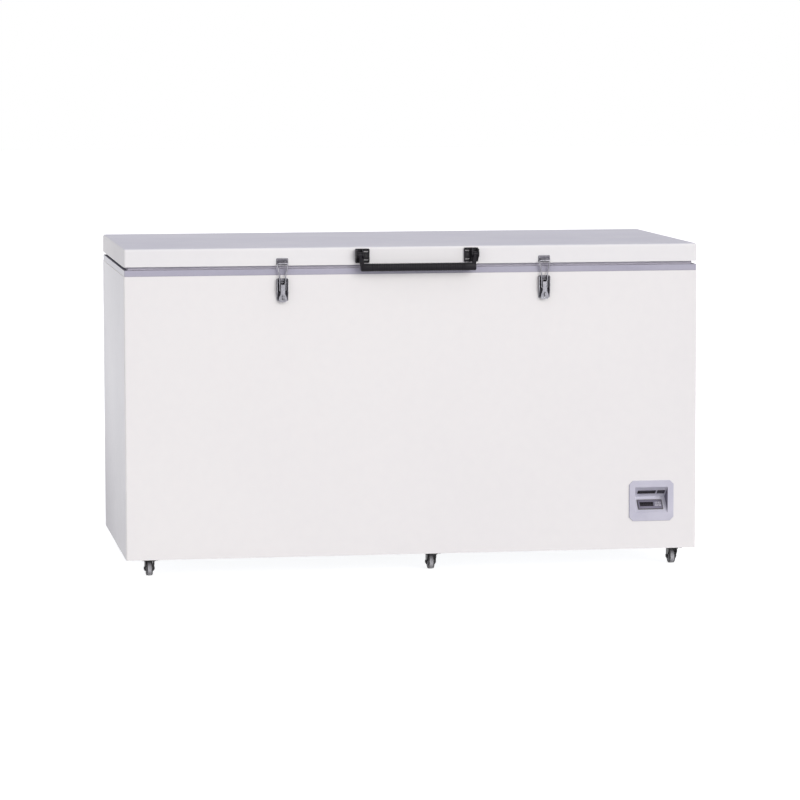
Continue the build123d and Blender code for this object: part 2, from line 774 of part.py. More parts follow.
def handle_bracket(side):
    """Moulded bracket: two cheeks on its outer half carry the pin, two slots lighten its inner half."""
    middle = HANDLE_X + side * BRACKET_SPACING / 2
    hub_x = middle + side * ARM_SHIFT
    outer_cheek = middle + side * (half_bracket - BRACKET_CHEEK / 2)
    inner_cheek = 2 * hub_x - outer_cheek
    slot_x = middle - side * (half_bracket - SLOT_MARGIN - SLOT_WIDTH / 2)
    slot_z = (bracket_low + bracket_high) / 2
    with BuildPart() as bracket:
        block(
            (middle - half_bracket, middle + half_bracket),
            (FRONT - BRACKET_BASE, FRONT),
            (bracket_low, bracket_high),
        )
        fillet(edges().filter_by(Axis.Y), BRACKET_BASE / 2)
        for cheek_x in (outer_cheek, inner_cheek):
            with BuildSketch(cross_plane(cheek_x - BRACKET_CHEEK / 2)):
                with BuildLine():
                    Polyline(
                        (FRONT, bracket_low + BRACKET_BASE / 2),
                        (FRONT - BRACKET_BASE, bracket_low + BRACKET_BASE / 2),
                        (pivot_y - BRACKET_EYE, pivot_z),
                        (pivot_y - BRACKET_EYE / 2, bracket_high - BRACKET_BASE / 2),
                        (FRONT, bracket_high - BRACKET_BASE / 2),
                        close=True,
                    )
                make_face()
                with Locations((pivot_y, pivot_z)):
                    Circle(BRACKET_EYE)
                    Circle(HANDLE_PIN / 2, mode=Mode.SUBTRACT)
            extrude(amount=BRACKET_CHEEK)
        with BuildSketch(Plane(origin=(slot_x, FRONT, slot_z), x_dir=(1, 0, 0), z_dir=(0, -1, 0))):
            with GridLocations(SLOT_WIDTH, SLOT_SPACING, 1, 2):
                SlotOverall(SLOT_WIDTH, SLOT_HEIGHT)
        extrude(amount=BRACKET_BASE, mode=Mode.SUBTRACT)
    with BuildPart() as pin:
        with Locations((hub_x, pivot_y, pivot_z)):
            Cylinder(HANDLE_PIN / 2, 2 * (half_bracket - ARM_SHIFT), rotation=(0, 90, 0))
    return [bracket.part, pin.part]


save(Compound(children=handle_bracket(-1) + handle_bracket(1)), "handle_brackets")

bar_y = FRONT - BAR_OUT
bar_z = pivot_z - BAR_DROP
bar_low_x = HANDLE_X - BAR_LENGTH / 2
arm_inside = half_bracket - ARM_SHIFT - BRACKET_CHEEK - SIDE_CLEARANCE
arm_lean = Vector(0, bar_y - pivot_y, bar_z - pivot_z)
with BuildPart() as handle_bar:
    # the bar, drawn across X
    with BuildSketch(cross_plane(bar_low_x)):
        with Locations((bar_y, bar_z)):
            RectangleRounded(BAR_DEPTH, BAR_HEIGHT, BAR_HEIGHT / 3)
    extrude(amount=BAR_LENGTH)
    fillet(edges().filter_by(GeomType.LINE, reverse=True).group_by(Axis.X)[0], BAR_END_RADIUS)
    fillet(edges().filter_by(GeomType.LINE, reverse=True).group_by(Axis.X)[-1], BAR_END_RADIUS)
    for side in (-1, 1):
        hub_x = HANDLE_X + side * (BRACKET_SPACING / 2 + ARM_SHIFT)
        foot_x = HANDLE_X + side * (BAR_LENGTH - ARM_THICK) / 2
        # each arm tapers from its hub down to the end of the bar
        with BuildSketch(Plane(origin=(hub_x, pivot_y, pivot_z), x_dir=(1, 0, 0), z_dir=arm_lean)):
            Rectangle(2 * ARM_ROOT, ARM_THICK)
        with BuildSketch(Plane(origin=(foot_x, bar_y, bar_z), x_dir=(1, 0, 0), z_dir=arm_lean)):
            Rectangle(ARM_THICK, ARM_THICK)
        loft()
        with BuildSketch(cross_plane(hub_x - arm_inside)):
            with Locations((pivot_y, pivot_z)):
                Circle(HANDLE_HUB)
        extrude(amount=2 * arm_inside)
        with Locations((hub_x, pivot_y, pivot_z)):
            Cylinder(
                HANDLE_PIN / 2 + RUNNING_CLEARANCE, BRACKET_SIZE, rotation=(0, 90, 0), mode=Mode.SUBTRACT
            )
save(handle_bar.part, "handle_bar")


# Toggle latches, drawn for the one on the middle line and moved out to each side
latch_z = BODY_TOP - LATCH_PIVOT_DROP
latch_y = FRONT - LATCH_PIVOT_OUT
bail_y = FRONT - BAIL_PIVOT_OUT
bail_z = latch_z - BAIL_PIVOT_DROP
keeper_low = LID_BOTTOM + KEEPER_UP
keeper_high = keeper_low + KEEPER_HEIGHT
hook_floor = keeper_low + LATCH_PLATE
bar_rest_z = hook_floor + BAIL_WIRE / 2 + SOFT_CLEARANCE
eye_z = latch_z - EYE_DROP
latch_half = LATCH_WIDTH / 2
lever_low = latch_z - LEVER_LENGTH
cheek_y = FRONT - LATCH_CHEEK_OUT


def latch_base():
    """Base made like a trough: a plate, two cheeks that carry the lever's pin, and a padlock eye."""
    base_low = latch_z - LATCH_BASE_LOW
    base_top = latch_z + LATCH_BASE_TOP
    plate_y = FRONT - LATCH_PLATE
    inner = latch_half - LATCH_CHEEK
    with BuildPart() as plate:
        block((-latch_half, latch_half), (plate_y, FRONT), (base_low, base_top))
        fillet(edges().filter_by(Axis.Y), LATCH_CORNER)
    pieces = [plate.part]
    for low in (-latch_half, inner):
        with BuildPart() as cheek:
            with BuildSketch(cross_plane(low)):
                with BuildLine():
                    Polyline(
                        (plate_y, base_low + LATCH_CORNER),
                        (cheek_y, bail_z - LATCH_PIN),
                        (cheek_y, base_top - LATCH_CORNER),
                        (plate_y, base_top - LATCH_CORNER),
                        close=True,
                    )
                make_face()
                fillet(vertices().sort_by(Axis.X)[:2], LATCH_CORNER)
                with Locations((latch_y, latch_z)):
                    Circle(LATCH_PIN / 2, mode=Mode.SUBTRACT)
            extrude(amount=LATCH_CHEEK)
        pieces.append(cheek.part)
    with BuildPart() as eye:
        with BuildSketch(cross_plane(-EYE_PLATE / 2)):
            with Locations((FRONT - (EYE_OUT + LATCH_PLATE) / 2, eye_z)):
                RectangleRounded(EYE_OUT - LATCH_PLATE, EYE_HEIGHT, EYE_HEIGHT / 2 - EYE_WALL / 2)
            with Locations((FRONT - EYE_OUT + EYE_HEIGHT / 2, eye_z)):
                Circle(EYE_HEIGHT / 2 - EYE_WALL, mode=Mode.SUBTRACT)
        extrude(amount=EYE_PLATE)
    with BuildPart() as pin:
        with Locations((0, latch_y, latch_z)):
            Cylinder(LATCH_PIN / 2, LATCH_WIDTH, rotation=(0, 90, 0))
    return pieces + [eye.part, pin.part]


def latch_keeper():
    """Keeper on the skirt: a plate whose lower edge is folded into an upturned hook."""
    hook_half = HOOK_WIDTH / 2
    with BuildPart() as keeper:
        keeper_half = KEEPER_WIDTH / 2
        block((-keeper_half, keeper_half), (FRONT - LATCH_PLATE, FRONT), (keeper_low, keeper_high))
        fillet(edges().filter_by(Axis.Y), LATCH_CORNER)
        block((-hook_half, hook_half), (FRONT - HOOK_OUT, FRONT), (keeper_low, hook_floor))
        block(
            (-hook_half, hook_half),
            (FRONT - HOOK_OUT, FRONT - HOOK_OUT + LATCH_PLATE),
            (keeper_low, keeper_low + HOOK_LIP),
        )
        fillet(edges().filter_by(Axis.X).group_by(Axis.Z)[0].sort_by(Axis.Y)[:1], LATCH_PLATE / 2)
    return keeper.part


def latch_lever():
    """Pressed lever: a narrow channel on the pin that widens into a thumb tab at its end."""
    web_top = latch_z - LEVER_WEB_DROP
    web_low = bail_z - LEVER_FOOT
    web_y = FRONT - LEVER_FACE_OUT + LEVER_WALL / 2
    face_back = FRONT - LEVER_FACE_OUT + LEVER_WALL
    slot_top = eye_z + EYE_HEIGHT / 2 + SIDE_CLEARANCE
    slot_low = eye_z - EYE_HEIGHT / 2 - LATCH_PIN
    with BuildPart() as lever:
        with BuildSketch(Plane(origin=(0, face_back, 0), x_dir=(1, 0, 0), z_dir=(0, -1, 0))):
            with BuildLine():
                Polyline(
                    (-LEVER_HALF, web_top),
                    (-LEVER_HALF, lever_low + 2 * LEVER_TAB_LENGTH),
                    (-LEVER_TAB, lever_low + LEVER_TAB_LENGTH),
                    (-LEVER_TAB, lever_low),
                    (LEVER_TAB, lever_low),
                    (LEVER_TAB, lever_low + LEVER_TAB_LENGTH),
                    (LEVER_HALF, lever_low + 2 * LEVER_TAB_LENGTH),
                    (LEVER_HALF, web_top),
                    close=True,
                )
            make_face()
            fillet(vertices().group_by(Axis.Y)[0], 2 * LATCH_CORNER)
            with Locations((0, (slot_top + slot_low) / 2)):
                Rectangle(EYE_PLATE + 2 * SIDE_CLEARANCE, slot_top - slot_low, mode=Mode.SUBTRACT)
        extrude(amount=LEVER_WALL)
        for low in (-LEVER_HALF, LEVER_HALF - LEVER_WALL):
            # each wall wraps round the pin, the bail's end and the web
            with BuildSketch(cross_plane(low)):
                with Locations((latch_y, latch_z)):
                    Circle(LEVER_EYE)
                with Locations((bail_y, bail_z)):
                    Circle(LEVER_FOOT)
                with Locations((web_y, (web_top + web_low) / 2)):
                    Rectangle(LEVER_WALL, web_top - web_low)
                make_hull()
                with Locations((latch_y, latch_z), (bail_y, bail_z)):
                    Circle(LATCH_PIN / 2 + RUNNING_CLEARANCE, mode=Mode.SUBTRACT)
            extrude(amount=LEVER_WALL)
    return lever.part


def latch_bail():
    """Wire bail: its ends turn in the lever's walls, and it spreads to reach round the hook."""
    wire_end = LEVER_HALF - LEVER_WALL - SIDE_CLEARANCE
    kink_z = latch_z + BAIL_KINK
    with BuildPart() as bail:
        with BuildLine() as route:
            FilletPolyline(
                (-wire_end, bail_y, bail_z),
                (-BAIL_FOOT, bail_y, bail_z),
                (-BAIL_FOOT, bail_y, kink_z),
                (-BAIL_TOP, bail_y, kink_z + BAIL_SPREAD),
                (-BAIL_TOP, bail_y, bar_rest_z),
                (BAIL_TOP, bail_y, bar_rest_z),
                (BAIL_TOP, bail_y, kink_z + BAIL_SPREAD),
                (BAIL_FOOT, bail_y, kink_z),
                (BAIL_FOOT, bail_y, bail_z),
                (wire_end, bail_y, bail_z),
                radius=BAIL_BEND,
            )
        with BuildSketch(route.line ^ 0):
            Circle(BAIL_WIRE / 2)
        sweep()
    return bail.part


latch_offsets = (-LATCH_X, LATCH_X)

save(at_each(latch_base(), latch_offsets), "latch_bases")
save(at_each([latch_keeper()], latch_offsets), "latch_keepers")
for word, x in zip(("left", "right"), latch_offsets):
    save(latch_lever().moved(Location((x, 0, 0))), "latch_" + word + "_lever")
    save(latch_bail().moved(Location((x, 0, 0))), "latch_" + word + "_bail")

# Control panel: a moulded plate with a recess folded in like a V
panel_face = FRONT - PANEL_PROUD
recess_low = PANEL_Z + RECESS_BOTTOM
recess_high = PANEL_Z + RECESS_TOP
fold_y = panel_face + RECESS_DEPTH
fold_z = PANEL_Z + RECESS_FOLD
recess_half = RECESS_WIDTH / 2
lower_rise = Vector(0, fold_y - panel_face, fold_z - recess_low)
upper_rise = Vector(0, panel_face - fold_y, recess_high - fold_z)
lower_normal = Vector(0, -lower_rise.Z, lower_rise.Y)
upper_normal = Vector(0, -upper_rise.Z, upper_rise.Y)
lower_plane = Plane(
    origin=(PANEL_X, (panel_face + fold_y) / 2, (recess_low + fold_z) / 2),
    x_dir=(1, 0, 0),
    z_dir=lower_normal,
)
lower_plane_axis = Axis((0, 0, 0), lower_normal)
upper_plane = Plane(
    origin=(PANEL_X, (panel_face + fold_y) / 2, (recess_high + fold_z) / 2),
    x_dir=(1, 0, 0),
    z_dir=upper_normal,
)


def plate_on(plane, centre, size, low, high, mode=Mode.ADD):
    """Adds or cuts a rectangular plate that stands from low to high above a plane."""
    with BuildSketch(plane.offset(low)) as outline:
        with Locations(centre):
            Rectangle(*size)
    extrude(outline.sketch, amount=high - low, mode=mode)


with BuildPart() as control_panel:
    with BuildSketch(Plane(origin=(PANEL_X, FRONT, PANEL_Z), x_dir=(1, 0, 0), z_dir=(0, -1, 0))):
        Rectangle(PANEL_WIDTH, PANEL_HEIGHT)
        chamfer(vertices(), PANEL_CORNER)
    extrude(amount=PANEL_PROUD)
    chamfer(faces().sort_by(Axis.Y)[0].edges(), PANEL_PROUD / 3)
    with BuildSketch(cross_plane(PANEL_X - recess_half - PANEL_WALL)):
        with BuildLine():
            Polyline(
                (FRONT, recess_low - 2 * PANEL_WALL),
                (FRONT + 2 * PANEL_WALL, recess_low - 2 * PANEL_WALL),
                (fold_y + 2 * PANEL_WALL, fold_z),
                (FRONT + 2 * PANEL_WALL, recess_high + 2 * PANEL_WALL),
                (FRONT, recess_high + 2 * PANEL_WALL),
                close=True,
            )
        make_face()
    extrude(amount=RECESS_WIDTH + 2 * PANEL_WALL)
    with BuildSketch(cross_plane(PANEL_X - recess_half)):
        with BuildLine():
            Polyline(
                (panel_face, recess_low),
                (fold_y, fold_z),
                (panel_face, recess_high),
                close=True,
            )
        make_face()
    extrude(amount=RECESS_WIDTH, mode=Mode.SUBTRACT)
    module_hole = (MODULE_BODY_WIDTH + 2 * CUTOUT_CLEARANCE, MODULE_BODY_HEIGHT + 2 * CUTOUT_CLEARANCE)
    plate_on(lower_plane, (0, 0), module_hole, -4 * PANEL_WALL, 0, mode=Mode.SUBTRACT)
    strip_hole = (STRIP_WIDTH + 2 * CUTOUT_CLEARANCE, STRIP_HEIGHT + 2 * CUTOUT_CLEARANCE)
    plate_on(upper_plane, (STRIP_SHIFT, 0), strip_hole, -PANEL_WALL, 0, mode=Mode.SUBTRACT)
    switch_body = (SWITCH_WIDTH - 2 * SWITCH_LAP_X, SWITCH_HEIGHT - 2 * SWITCH_LAP_Y)
    switch_hole = [size + 2 * CUTOUT_CLEARANCE for size in switch_body]
    plate_on(upper_plane, (SWITCH_SHIFT, 0), switch_hole, -4 * PANEL_WALL, 0, mode=Mode.SUBTRACT)
save(control_panel.part, "control_panel")

# Temperature controller in the lower facet, with a display window and four keys
key_centres = [
    (KEY_SHIFT + column * KEY_PITCH_X / 2, row * KEY_PITCH_Y / 2) for row in (1, -1) for column in (-1, 1)
]
pocket_floor = -KEY_FLOOR
key_hole = (KEY_WIDTH + 2 * KEY_CLEARANCE, KEY_HEIGHT + 2 * KEY_CLEARANCE)
with BuildPart() as controller:
    plate_on(lower_plane, (0, 0), (MODULE_WIDTH, MODULE_HEIGHT), 0, MODULE_BEZEL)
    chamfer(faces().sort_by(lower_plane_axis)[-1].edges(), MODULE_BEZEL / 3)
    plate_on(lower_plane, (0, 0), (MODULE_BODY_WIDTH, MODULE_BODY_HEIGHT), -MODULE_DEPTH, 0)
    plate_on(
        lower_plane,
        (DISPLAY_SHIFT, 0),
        (DISPLAY_WIDTH, DISPLAY_HEIGHT),
        MODULE_BEZEL - DISPLAY_THICK,
        MODULE_BEZEL,
        mode=Mode.SUBTRACT,
    )
    for centre in key_centres:
        plate_on(lower_plane, centre, key_hole, pocket_floor, MODULE_BEZEL, mode=Mode.SUBTRACT)
save(controller.part, "controller")

with BuildPart() as display_window:
    plate_on(
        lower_plane,
        (DISPLAY_SHIFT, 0),
        (DISPLAY_WIDTH, DISPLAY_HEIGHT),
        MODULE_BEZEL - DISPLAY_THICK,
        MODULE_BEZEL,
    )
with BuildPart() as strip_window:
    plate_on(upper_plane, (STRIP_SHIFT, 0), (STRIP_WIDTH, STRIP_HEIGHT), -PANEL_WALL, STRIP_PROUD)
save(Compound(children=[display_window.part, strip_window.part]), "indicator_windows")

key_bottom = pocket_floor + KEY_TRAVEL + CUTOUT_CLEARANCE
for number, centre in enumerate(key_centres):
    with BuildPart() as key:
        plate_on(lower_plane, centre, (KEY_WIDTH, KEY_HEIGHT), key_bottom, MODULE_BEZEL + KEY_PROUD)
        chamfer(faces().sort_by(lower_plane_axis)[-1].edges(), KEY_PROUD / 2)
    save(key.part, "key_" + str(number + 1))

# Power switch in the upper facet: a housing and a rocker that rests with one end down
with BuildPart() as switch_housing:
    plate_on(upper_plane, (SWITCH_SHIFT, 0), (SWITCH_WIDTH, SWITCH_HEIGHT), 0, SWITCH_BEZEL)
    plate_on(upper_plane, (SWITCH_SHIFT, 0), switch_body, -SWITCH_DEPTH, 0)
    rocker_hole = (ROCKER_OPENING, ROCKER_BREADTH + 2 * KEY_CLEARANCE)
    plate_on(
        upper_plane, (SWITCH_SHIFT, 0), rocker_hole, -ROCKER_WELL, SWITCH_BEZEL, mode=Mode.SUBTRACT
    )
save(switch_housing.part, "switch_housing")

rocker_axis = upper_plane.y_dir
rocker_centre = upper_plane.from_local_coords(Vector(SWITCH_SHIFT, 0, 0))
rocker_across = Vector(1, 0, 0).rotate(Axis((0, 0, 0), rocker_axis), ROCKER_TILT)
rocker_plane = Plane(
    origin=rocker_centre - rocker_axis * (ROCKER_BREADTH / 2),
    x_dir=rocker_across,
    z_dir=rocker_axis,
)
with BuildPart() as power_switch:
    with BuildSketch(rocker_plane):
        with BuildLine():
            Polyline(
                (-ROCKER_HALF, ROCKER_UNDER),
                (-ROCKER_HALF, -ROCKER_RISE),
                (0, -ROCKER_DIP),
                (ROCKER_HALF, -ROCKER_RISE),
                (ROCKER_HALF, ROCKER_UNDER),
                close=True,
            )
        make_face()
        Circle(ROCKER_TRUNNION)
    extrude(amount=ROCKER_BREADTH)
save(power_switch.part, "power_switch")

# Machine compartment: two compressors on rubber feet for the two cooling stages
foot_top = PAN_TOP + COMPRESSOR_LIFT
shell_low = foot_top + FOOT_PLATE
shell_high = shell_low + COMPRESSOR_HEIGHT


def compressor(y):
    """Hermetic compressor: a domed shell on a square foot plate, with one pipe stub."""
    with BuildPart() as shell:
        with Locations((COMPRESSOR_X, y, (shell_low + shell_high) / 2)):
            Cylinder(COMPRESSOR_RADIUS, COMPRESSOR_HEIGHT)
        fillet(faces().sort_by(Axis.Z)[-1].edges(), COMPRESSOR_DOME)
        with BuildSketch(Plane(origin=(COMPRESSOR_X, y, foot_top))):
            RectangleRounded(2 * (FOOT_HALF + FOOT_RADIUS), 2 * (FOOT_HALF + FOOT_RADIUS), FOOT_RADIUS)
        extrude(amount=FOOT_PLATE)
        with Locations((COMPRESSOR_X, y, shell_high + STUB_LENGTH / 2)):
            Cylinder(STUB_RADIUS, STUB_LENGTH)
    return shell.part


def compressor_feet(y):
    """Four rubber grommets between the foot plate and the base pan."""
    with BuildPart() as feet:
        with Locations((COMPRESSOR_X, y, PAN_TOP + COMPRESSOR_LIFT / 2)):
            with GridLocations(2 * FOOT_HALF, 2 * FOOT_HALF, 2, 2):
                Cylinder(FOOT_RADIUS, COMPRESSOR_LIFT)
    return feet.part.solids()


save(Compound(children=[compressor(y) for y in COMPRESSOR_Y]), "compressors")
save(Compound(children=[foot for y in COMPRESSOR_Y for foot in compressor_feet(y)]), "compressor_feet")

# Condenser: a finned core between two header pipes, standing on two feet
core_low = PAN_TOP + CONDENSER_LIFT
core_high = core_low + CONDENSER_HEIGHT
core_half = CONDENSER_WIDTH / 2
core_x = (CONDENSER_X - CONDENSER_THICK / 2, CONDENSER_X + CONDENSER_THICK / 2)
header_y = [CONDENSER_Y + side * (core_half + HEADER_RADIUS - HEADER_LAP) for side in (-1, 1)]
with BuildPart() as condenser:
    block(core_x, (CONDENSER_Y - core_half, CONDENSER_Y + core_half), (core_low, core_high))
    fin_count = int(CONDENSER_HEIGHT / FIN_PITCH)
    for fin in range(fin_count):
        fin_z = core_low + (fin + 0.5) * FIN_PITCH
        for face in core_x:
            block(
                (face - FIN_DEPTH, face + FIN_DEPTH),
                (CONDENSER_Y - core_half + FIN_DEPTH, CONDENSER_Y + core_half - FIN_DEPTH),
                (fin_z - FIN_PITCH / 3, fin_z + FIN_PITCH / 3),
                mode=Mode.SUBTRACT,
            )
    for y in header_y:
        with Locations((CONDENSER_X, y, (core_low + core_high) / 2)):
            Cylinder(HEADER_RADIUS, CONDENSER_HEIGHT)
        with Locations((CONDENSER_X, y, core_high + STUB_LENGTH / 2)):
            Cylinder(STUB_RADIUS, STUB_LENGTH)
        block(
            (CONDENSER_X - HEADER_RADIUS, CONDENSER_X + HEADER_RADIUS),
            (y - HEADER_RADIUS, y + HEADER_RADIUS),
            (PAN_TOP, core_low),
        )
save(condenser.part, "condenser")

# Fan shroud: a plate on the condenser with a round mouth and arms that hold the motor
shroud_x = core_x[0] - SHROUD_STANDOFF
fan_z = (core_low + core_high) / 2
mouth = FAN_RADIUS + FAN_TIP_GAP
fan_front = shroud_x - SHROUD_SHEET - FAN_TIP_GAP
fan_back = fan_front - FAN_DEPTH
arm_x = fan_back - FAN_TIP_GAP
arm_thick = 2 * SHROUD_SHEET
with BuildPart() as fan_shroud:
    block(
        (shroud_x - SHROUD_SHEET, shroud_x),
        (CONDENSER_Y - core_half, CONDENSER_Y + core_half),
        (core_low, core_high),
    )
    for side in (-1, 1):
        edge_y = CONDENSER_Y + side * (core_half - SHROUD_SHEET / 2)
        block(
            (shroud_x, core_x[0]),
            (edge_y - SHROUD_SHEET / 2, edge_y + SHROUD_SHEET / 2),
            (core_low, core_high),
        )
    with BuildSketch(Plane(origin=(shroud_x, CONDENSER_Y, fan_z), x_dir=(0, 1, 0), z_dir=(-1, 0, 0))):
        Circle(mouth + SHROUD_SHEET)
    extrude(amount=shroud_x - arm_x + arm_thick)
    with BuildSketch(Plane(origin=(shroud_x, CONDENSER_Y, fan_z), x_dir=(0, 1, 0), z_dir=(-1, 0, 0))):
        Circle(mouth)
    extrude(amount=shroud_x - arm_x + arm_thick, mode=Mode.SUBTRACT)
    with BuildSketch(Plane(origin=(arm_x, CONDENSER_Y, fan_z), x_dir=(0, 1, 0), z_dir=(-1, 0, 0))):
        for turn in (0, 90):
            Rectangle(2 * mouth + SHROUD_SHEET, 4 * arm_thick, rotation=turn)
        Circle(MOTOR_RADIUS)
        Circle(SHAFT_RADIUS + 2 * SIDE_CLEARANCE, mode=Mode.SUBTRACT)
    extrude(amount=arm_thick)
save(fan_shroud.part, "fan_shroud")

motor_front = arm_x - arm_thick
with BuildPart() as fan_motor:
    with BuildSketch(Plane(origin=(motor_front, CONDENSER_Y, fan_z), x_dir=(0, 1, 0), z_dir=(-1, 0, 0))):
        Circle(MOTOR_RADIUS)
    extrude(amount=MOTOR_LENGTH)
    fillet(faces().sort_by(Axis.X)[0].edges(), MOTOR_RADIUS / 4)
    with BuildSketch(Plane(origin=(motor_front, CONDENSER_Y, fan_z), x_dir=(0, 1, 0), z_dir=(1, 0, 0))):
        Circle(SHAFT_RADIUS)
    extrude(amount=fan_front - motor_front - FAN_DEPTH / 4)
save(fan_motor.part, "fan_motor")

# Fan: twisted blades on a hub that turns on the motor's shaft
with BuildPart() as fan_blade:
    with BuildSketch(Plane(origin=(fan_back, CONDENSER_Y, fan_z), x_dir=(0, 1, 0), z_dir=(1, 0, 0))):
        Circle(FAN_HUB)
    extrude(amount=FAN_DEPTH)
    for blade in range(FAN_BLADES):
        turn = blade * 360 / FAN_BLADES
        out = Vector(0, 1, 0).rotate(Axis.X, turn)
        middle = Vector((fan_back + fan_front) / 2, CONDENSER_Y, fan_z)
        for radius, width, angle in (
            (FAN_HUB - BLADE_LAP, FAN_HUB, BLADE_ROOT_ANGLE),
            (FAN_RADIUS - SIDE_CLEARANCE, 2 * FAN_HUB, BLADE_TIP_ANGLE),
        ):
            chord = Vector(1, 0, 0).cross(out).rotate(Axis((0, 0, 0), out), angle)
            with BuildSketch(Plane(origin=middle + out * radius, x_dir=chord, z_dir=out)):
                Rectangle(width, BLADE_THICK)
        loft()
    with Locations(middle):
        Cylinder(
            SHAFT_RADIUS + RUNNING_CLEARANCE, 2 * FAN_DEPTH, rotation=(0, 90, 0), mode=Mode.SUBTRACT
        )
save(fan_blade.part, "fan_blade")

# Refrigerant vessels: the insulated heat exchanger between the stages and an oil separator
exchanger_high = PAN_TOP + EXCHANGER_HEIGHT
separator_high = PAN_TOP + SEPARATOR_HEIGHT
stub_x = EXCHANGER_RADIUS / 2
with BuildPart() as heat_exchanger:
    with Locations((EXCHANGER_X, VESSEL_Y, (PAN_TOP + exchanger_high) / 2)):
        Cylinder(EXCHANGER_RADIUS, EXCHANGER_HEIGHT)
    fillet(faces().sort_by(Axis.Z)[-1].edges(), EXCHANGER_RADIUS / 4)
    with Locations((EXCHANGER_X, VESSEL_Y, exchanger_high + STUB_LENGTH / 2)):
        with GridLocations(2 * stub_x, 1, 2, 1):
            Cylinder(STUB_RADIUS, STUB_LENGTH)
with BuildPart() as oil_separator:
    with Locations((SEPARATOR_X, VESSEL_Y, (PAN_TOP + separator_high) / 2)):
        Cylinder(SEPARATOR_RADIUS, SEPARATOR_HEIGHT)
    fillet(faces().sort_by(Axis.Z)[-1].edges(), SEPARATOR_RADIUS / 3)
    with Locations((SEPARATOR_X, VESSEL_Y, separator_high + STUB_LENGTH / 2)):
        Cylinder(STUB_RADIUS, STUB_LENGTH)
save(Compound(children=[heat_exchanger.part, oil_separator.part]), "refrigerant_vessels")


def pipe(points):
    """Copper pipe with wide bends between the given corners."""
    with BuildPart() as tube:
        with BuildLine() as route:
            FilletPolyline(*points, radius=PIPE_BEND)
        with BuildSketch(route.line ^ 0):
            Circle(PIPE_RADIUS)
        sweep()
    return tube.part


stub_top = shell_high + STUB_LENGTH
core_stub = core_high + STUB_LENGTH
first_y, second_y = COMPRESSOR_Y
hot_pipe = pipe(
    [
        (COMPRESSOR_X, first_y, stub_top),
        (COMPRESSOR_X, first_y, PIPE_TOP),
        (CONDENSER_X, header_y[0], PIPE_TOP),
        (CONDENSER_X, header_y[0], core_stub),
    ]
)
cool_pipe = pipe(
    [
        (CONDENSER_X, header_y[1], core_stub),
        (CONDENSER_X, header_y[1], PIPE_TOP),
        (SEPARATOR_X, VESSEL_Y, PIPE_TOP),
        (SEPARATOR_X, VESSEL_Y, separator_high + STUB_LENGTH),
    ]
)
stage_pipe = pipe(
    [
        (COMPRESSOR_X, second_y, stub_top),
        (COMPRESSOR_X, second_y, PIPE_TOP),
        (EXCHANGER_X + stub_x, VESSEL_Y, PIPE_TOP),
        (EXCHANGER_X + stub_x, VESSEL_Y, exchanger_high + STUB_LENGTH),
    ]
)
feed_pipe = pipe(
    [
        (EXCHANGER_X - stub_x, VESSEL_Y, exchanger_high + STUB_LENGTH),
        (EXCHANGER_X - stub_x, VESSEL_Y, PIPE_TOP),
        (BAY_LEFT, VESSEL_Y, PIPE_TOP),
    ]
)
save(Compound(children=[hot_pipe, cool_pipe, stage_pipe, feed_pipe]), "refrigerant_pipes")

# Electrical box on the rear sheet and the power inlet under it
box_low = PAN_TOP + BOX_LIFT
with BuildPart() as electrical_box:
    block(
        (BOX_X - BOX_WIDTH / 2, BOX_X + BOX_WIDTH / 2),
        (INSIDE_Y - BOX_DEPTH, INSIDE_Y),
        (box_low, box_low + BOX_HEIGHT),
    )
    fillet(edges().filter_by(Axis.Z).group_by(Axis.Y)[0], BOX_RADIUS)
save(electrical_box.part, "electrical_box")

inlet_plane = Plane(origin=(INLET_X, REAR, inlet_z), x_dir=(-1, 0, 0), z_dir=(0, 1, 0))
with BuildPart() as power_inlet:
    inlet_flange = (INLET_WIDTH + 2 * INLET_LAP_X, INLET_HEIGHT + 2 * INLET_LAP_Y)
    inlet_body = (INLET_WIDTH - 2 * SIDE_CLEARANCE, INLET_HEIGHT - 2 * SIDE_CLEARANCE)
    inlet_socket = (INLET_WIDTH - 2 * INLET_WALL_X, INLET_HEIGHT - 2 * INLET_WALL_Y)
    inlet_pin = (INLET_PIN_WIDTH, INLET_PIN_HEIGHT)
    plate_on(inlet_plane, (0, 0), inlet_flange, 0, INLET_FLANGE)
    plate_on(inlet_plane, (0, 0), inlet_body, -INLET_DEPTH, 0)
    plate_on(inlet_plane, (0, 0), inlet_socket, -INLET_SOCKET, INLET_FLANGE, mode=Mode.SUBTRACT)
    for step in (-1, 0, 1):
        plate_on(inlet_plane, (step * INLET_PIN_PITCH, 0), inlet_pin, -INLET_SOCKET, -INLET_PIN_SUNK)
save(power_inlet.part, "power_inlet")


def air_grille(plane, width, height):
    """Moulded grille: a frame that laps the sheet and level slots for the air."""
    with BuildPart() as grille:
        plate_on(plane, (0, 0), (width + 2 * GRILLE_FRAME, height + 2 * GRILLE_FRAME), 0, GRILLE_PROUD)
        plate_on(
            plane, (0, 0), (width - 2 * SIDE_CLEARANCE, height - 2 * SIDE_CLEARANCE), -2 * SHEET, 0
        )
        pitch = height / GRILLE_SLOTS
        for slot in range(GRILLE_SLOTS):
            plate_on(
                plane,
                (0, (slot + 0.5) * pitch - height / 2),
                (width - 2 * GRILLE_FRAME, GRILLE_SLOT),
                -2 * SHEET,
                GRILLE_PROUD,
                mode=Mode.SUBTRACT,
            )
    return grille.part


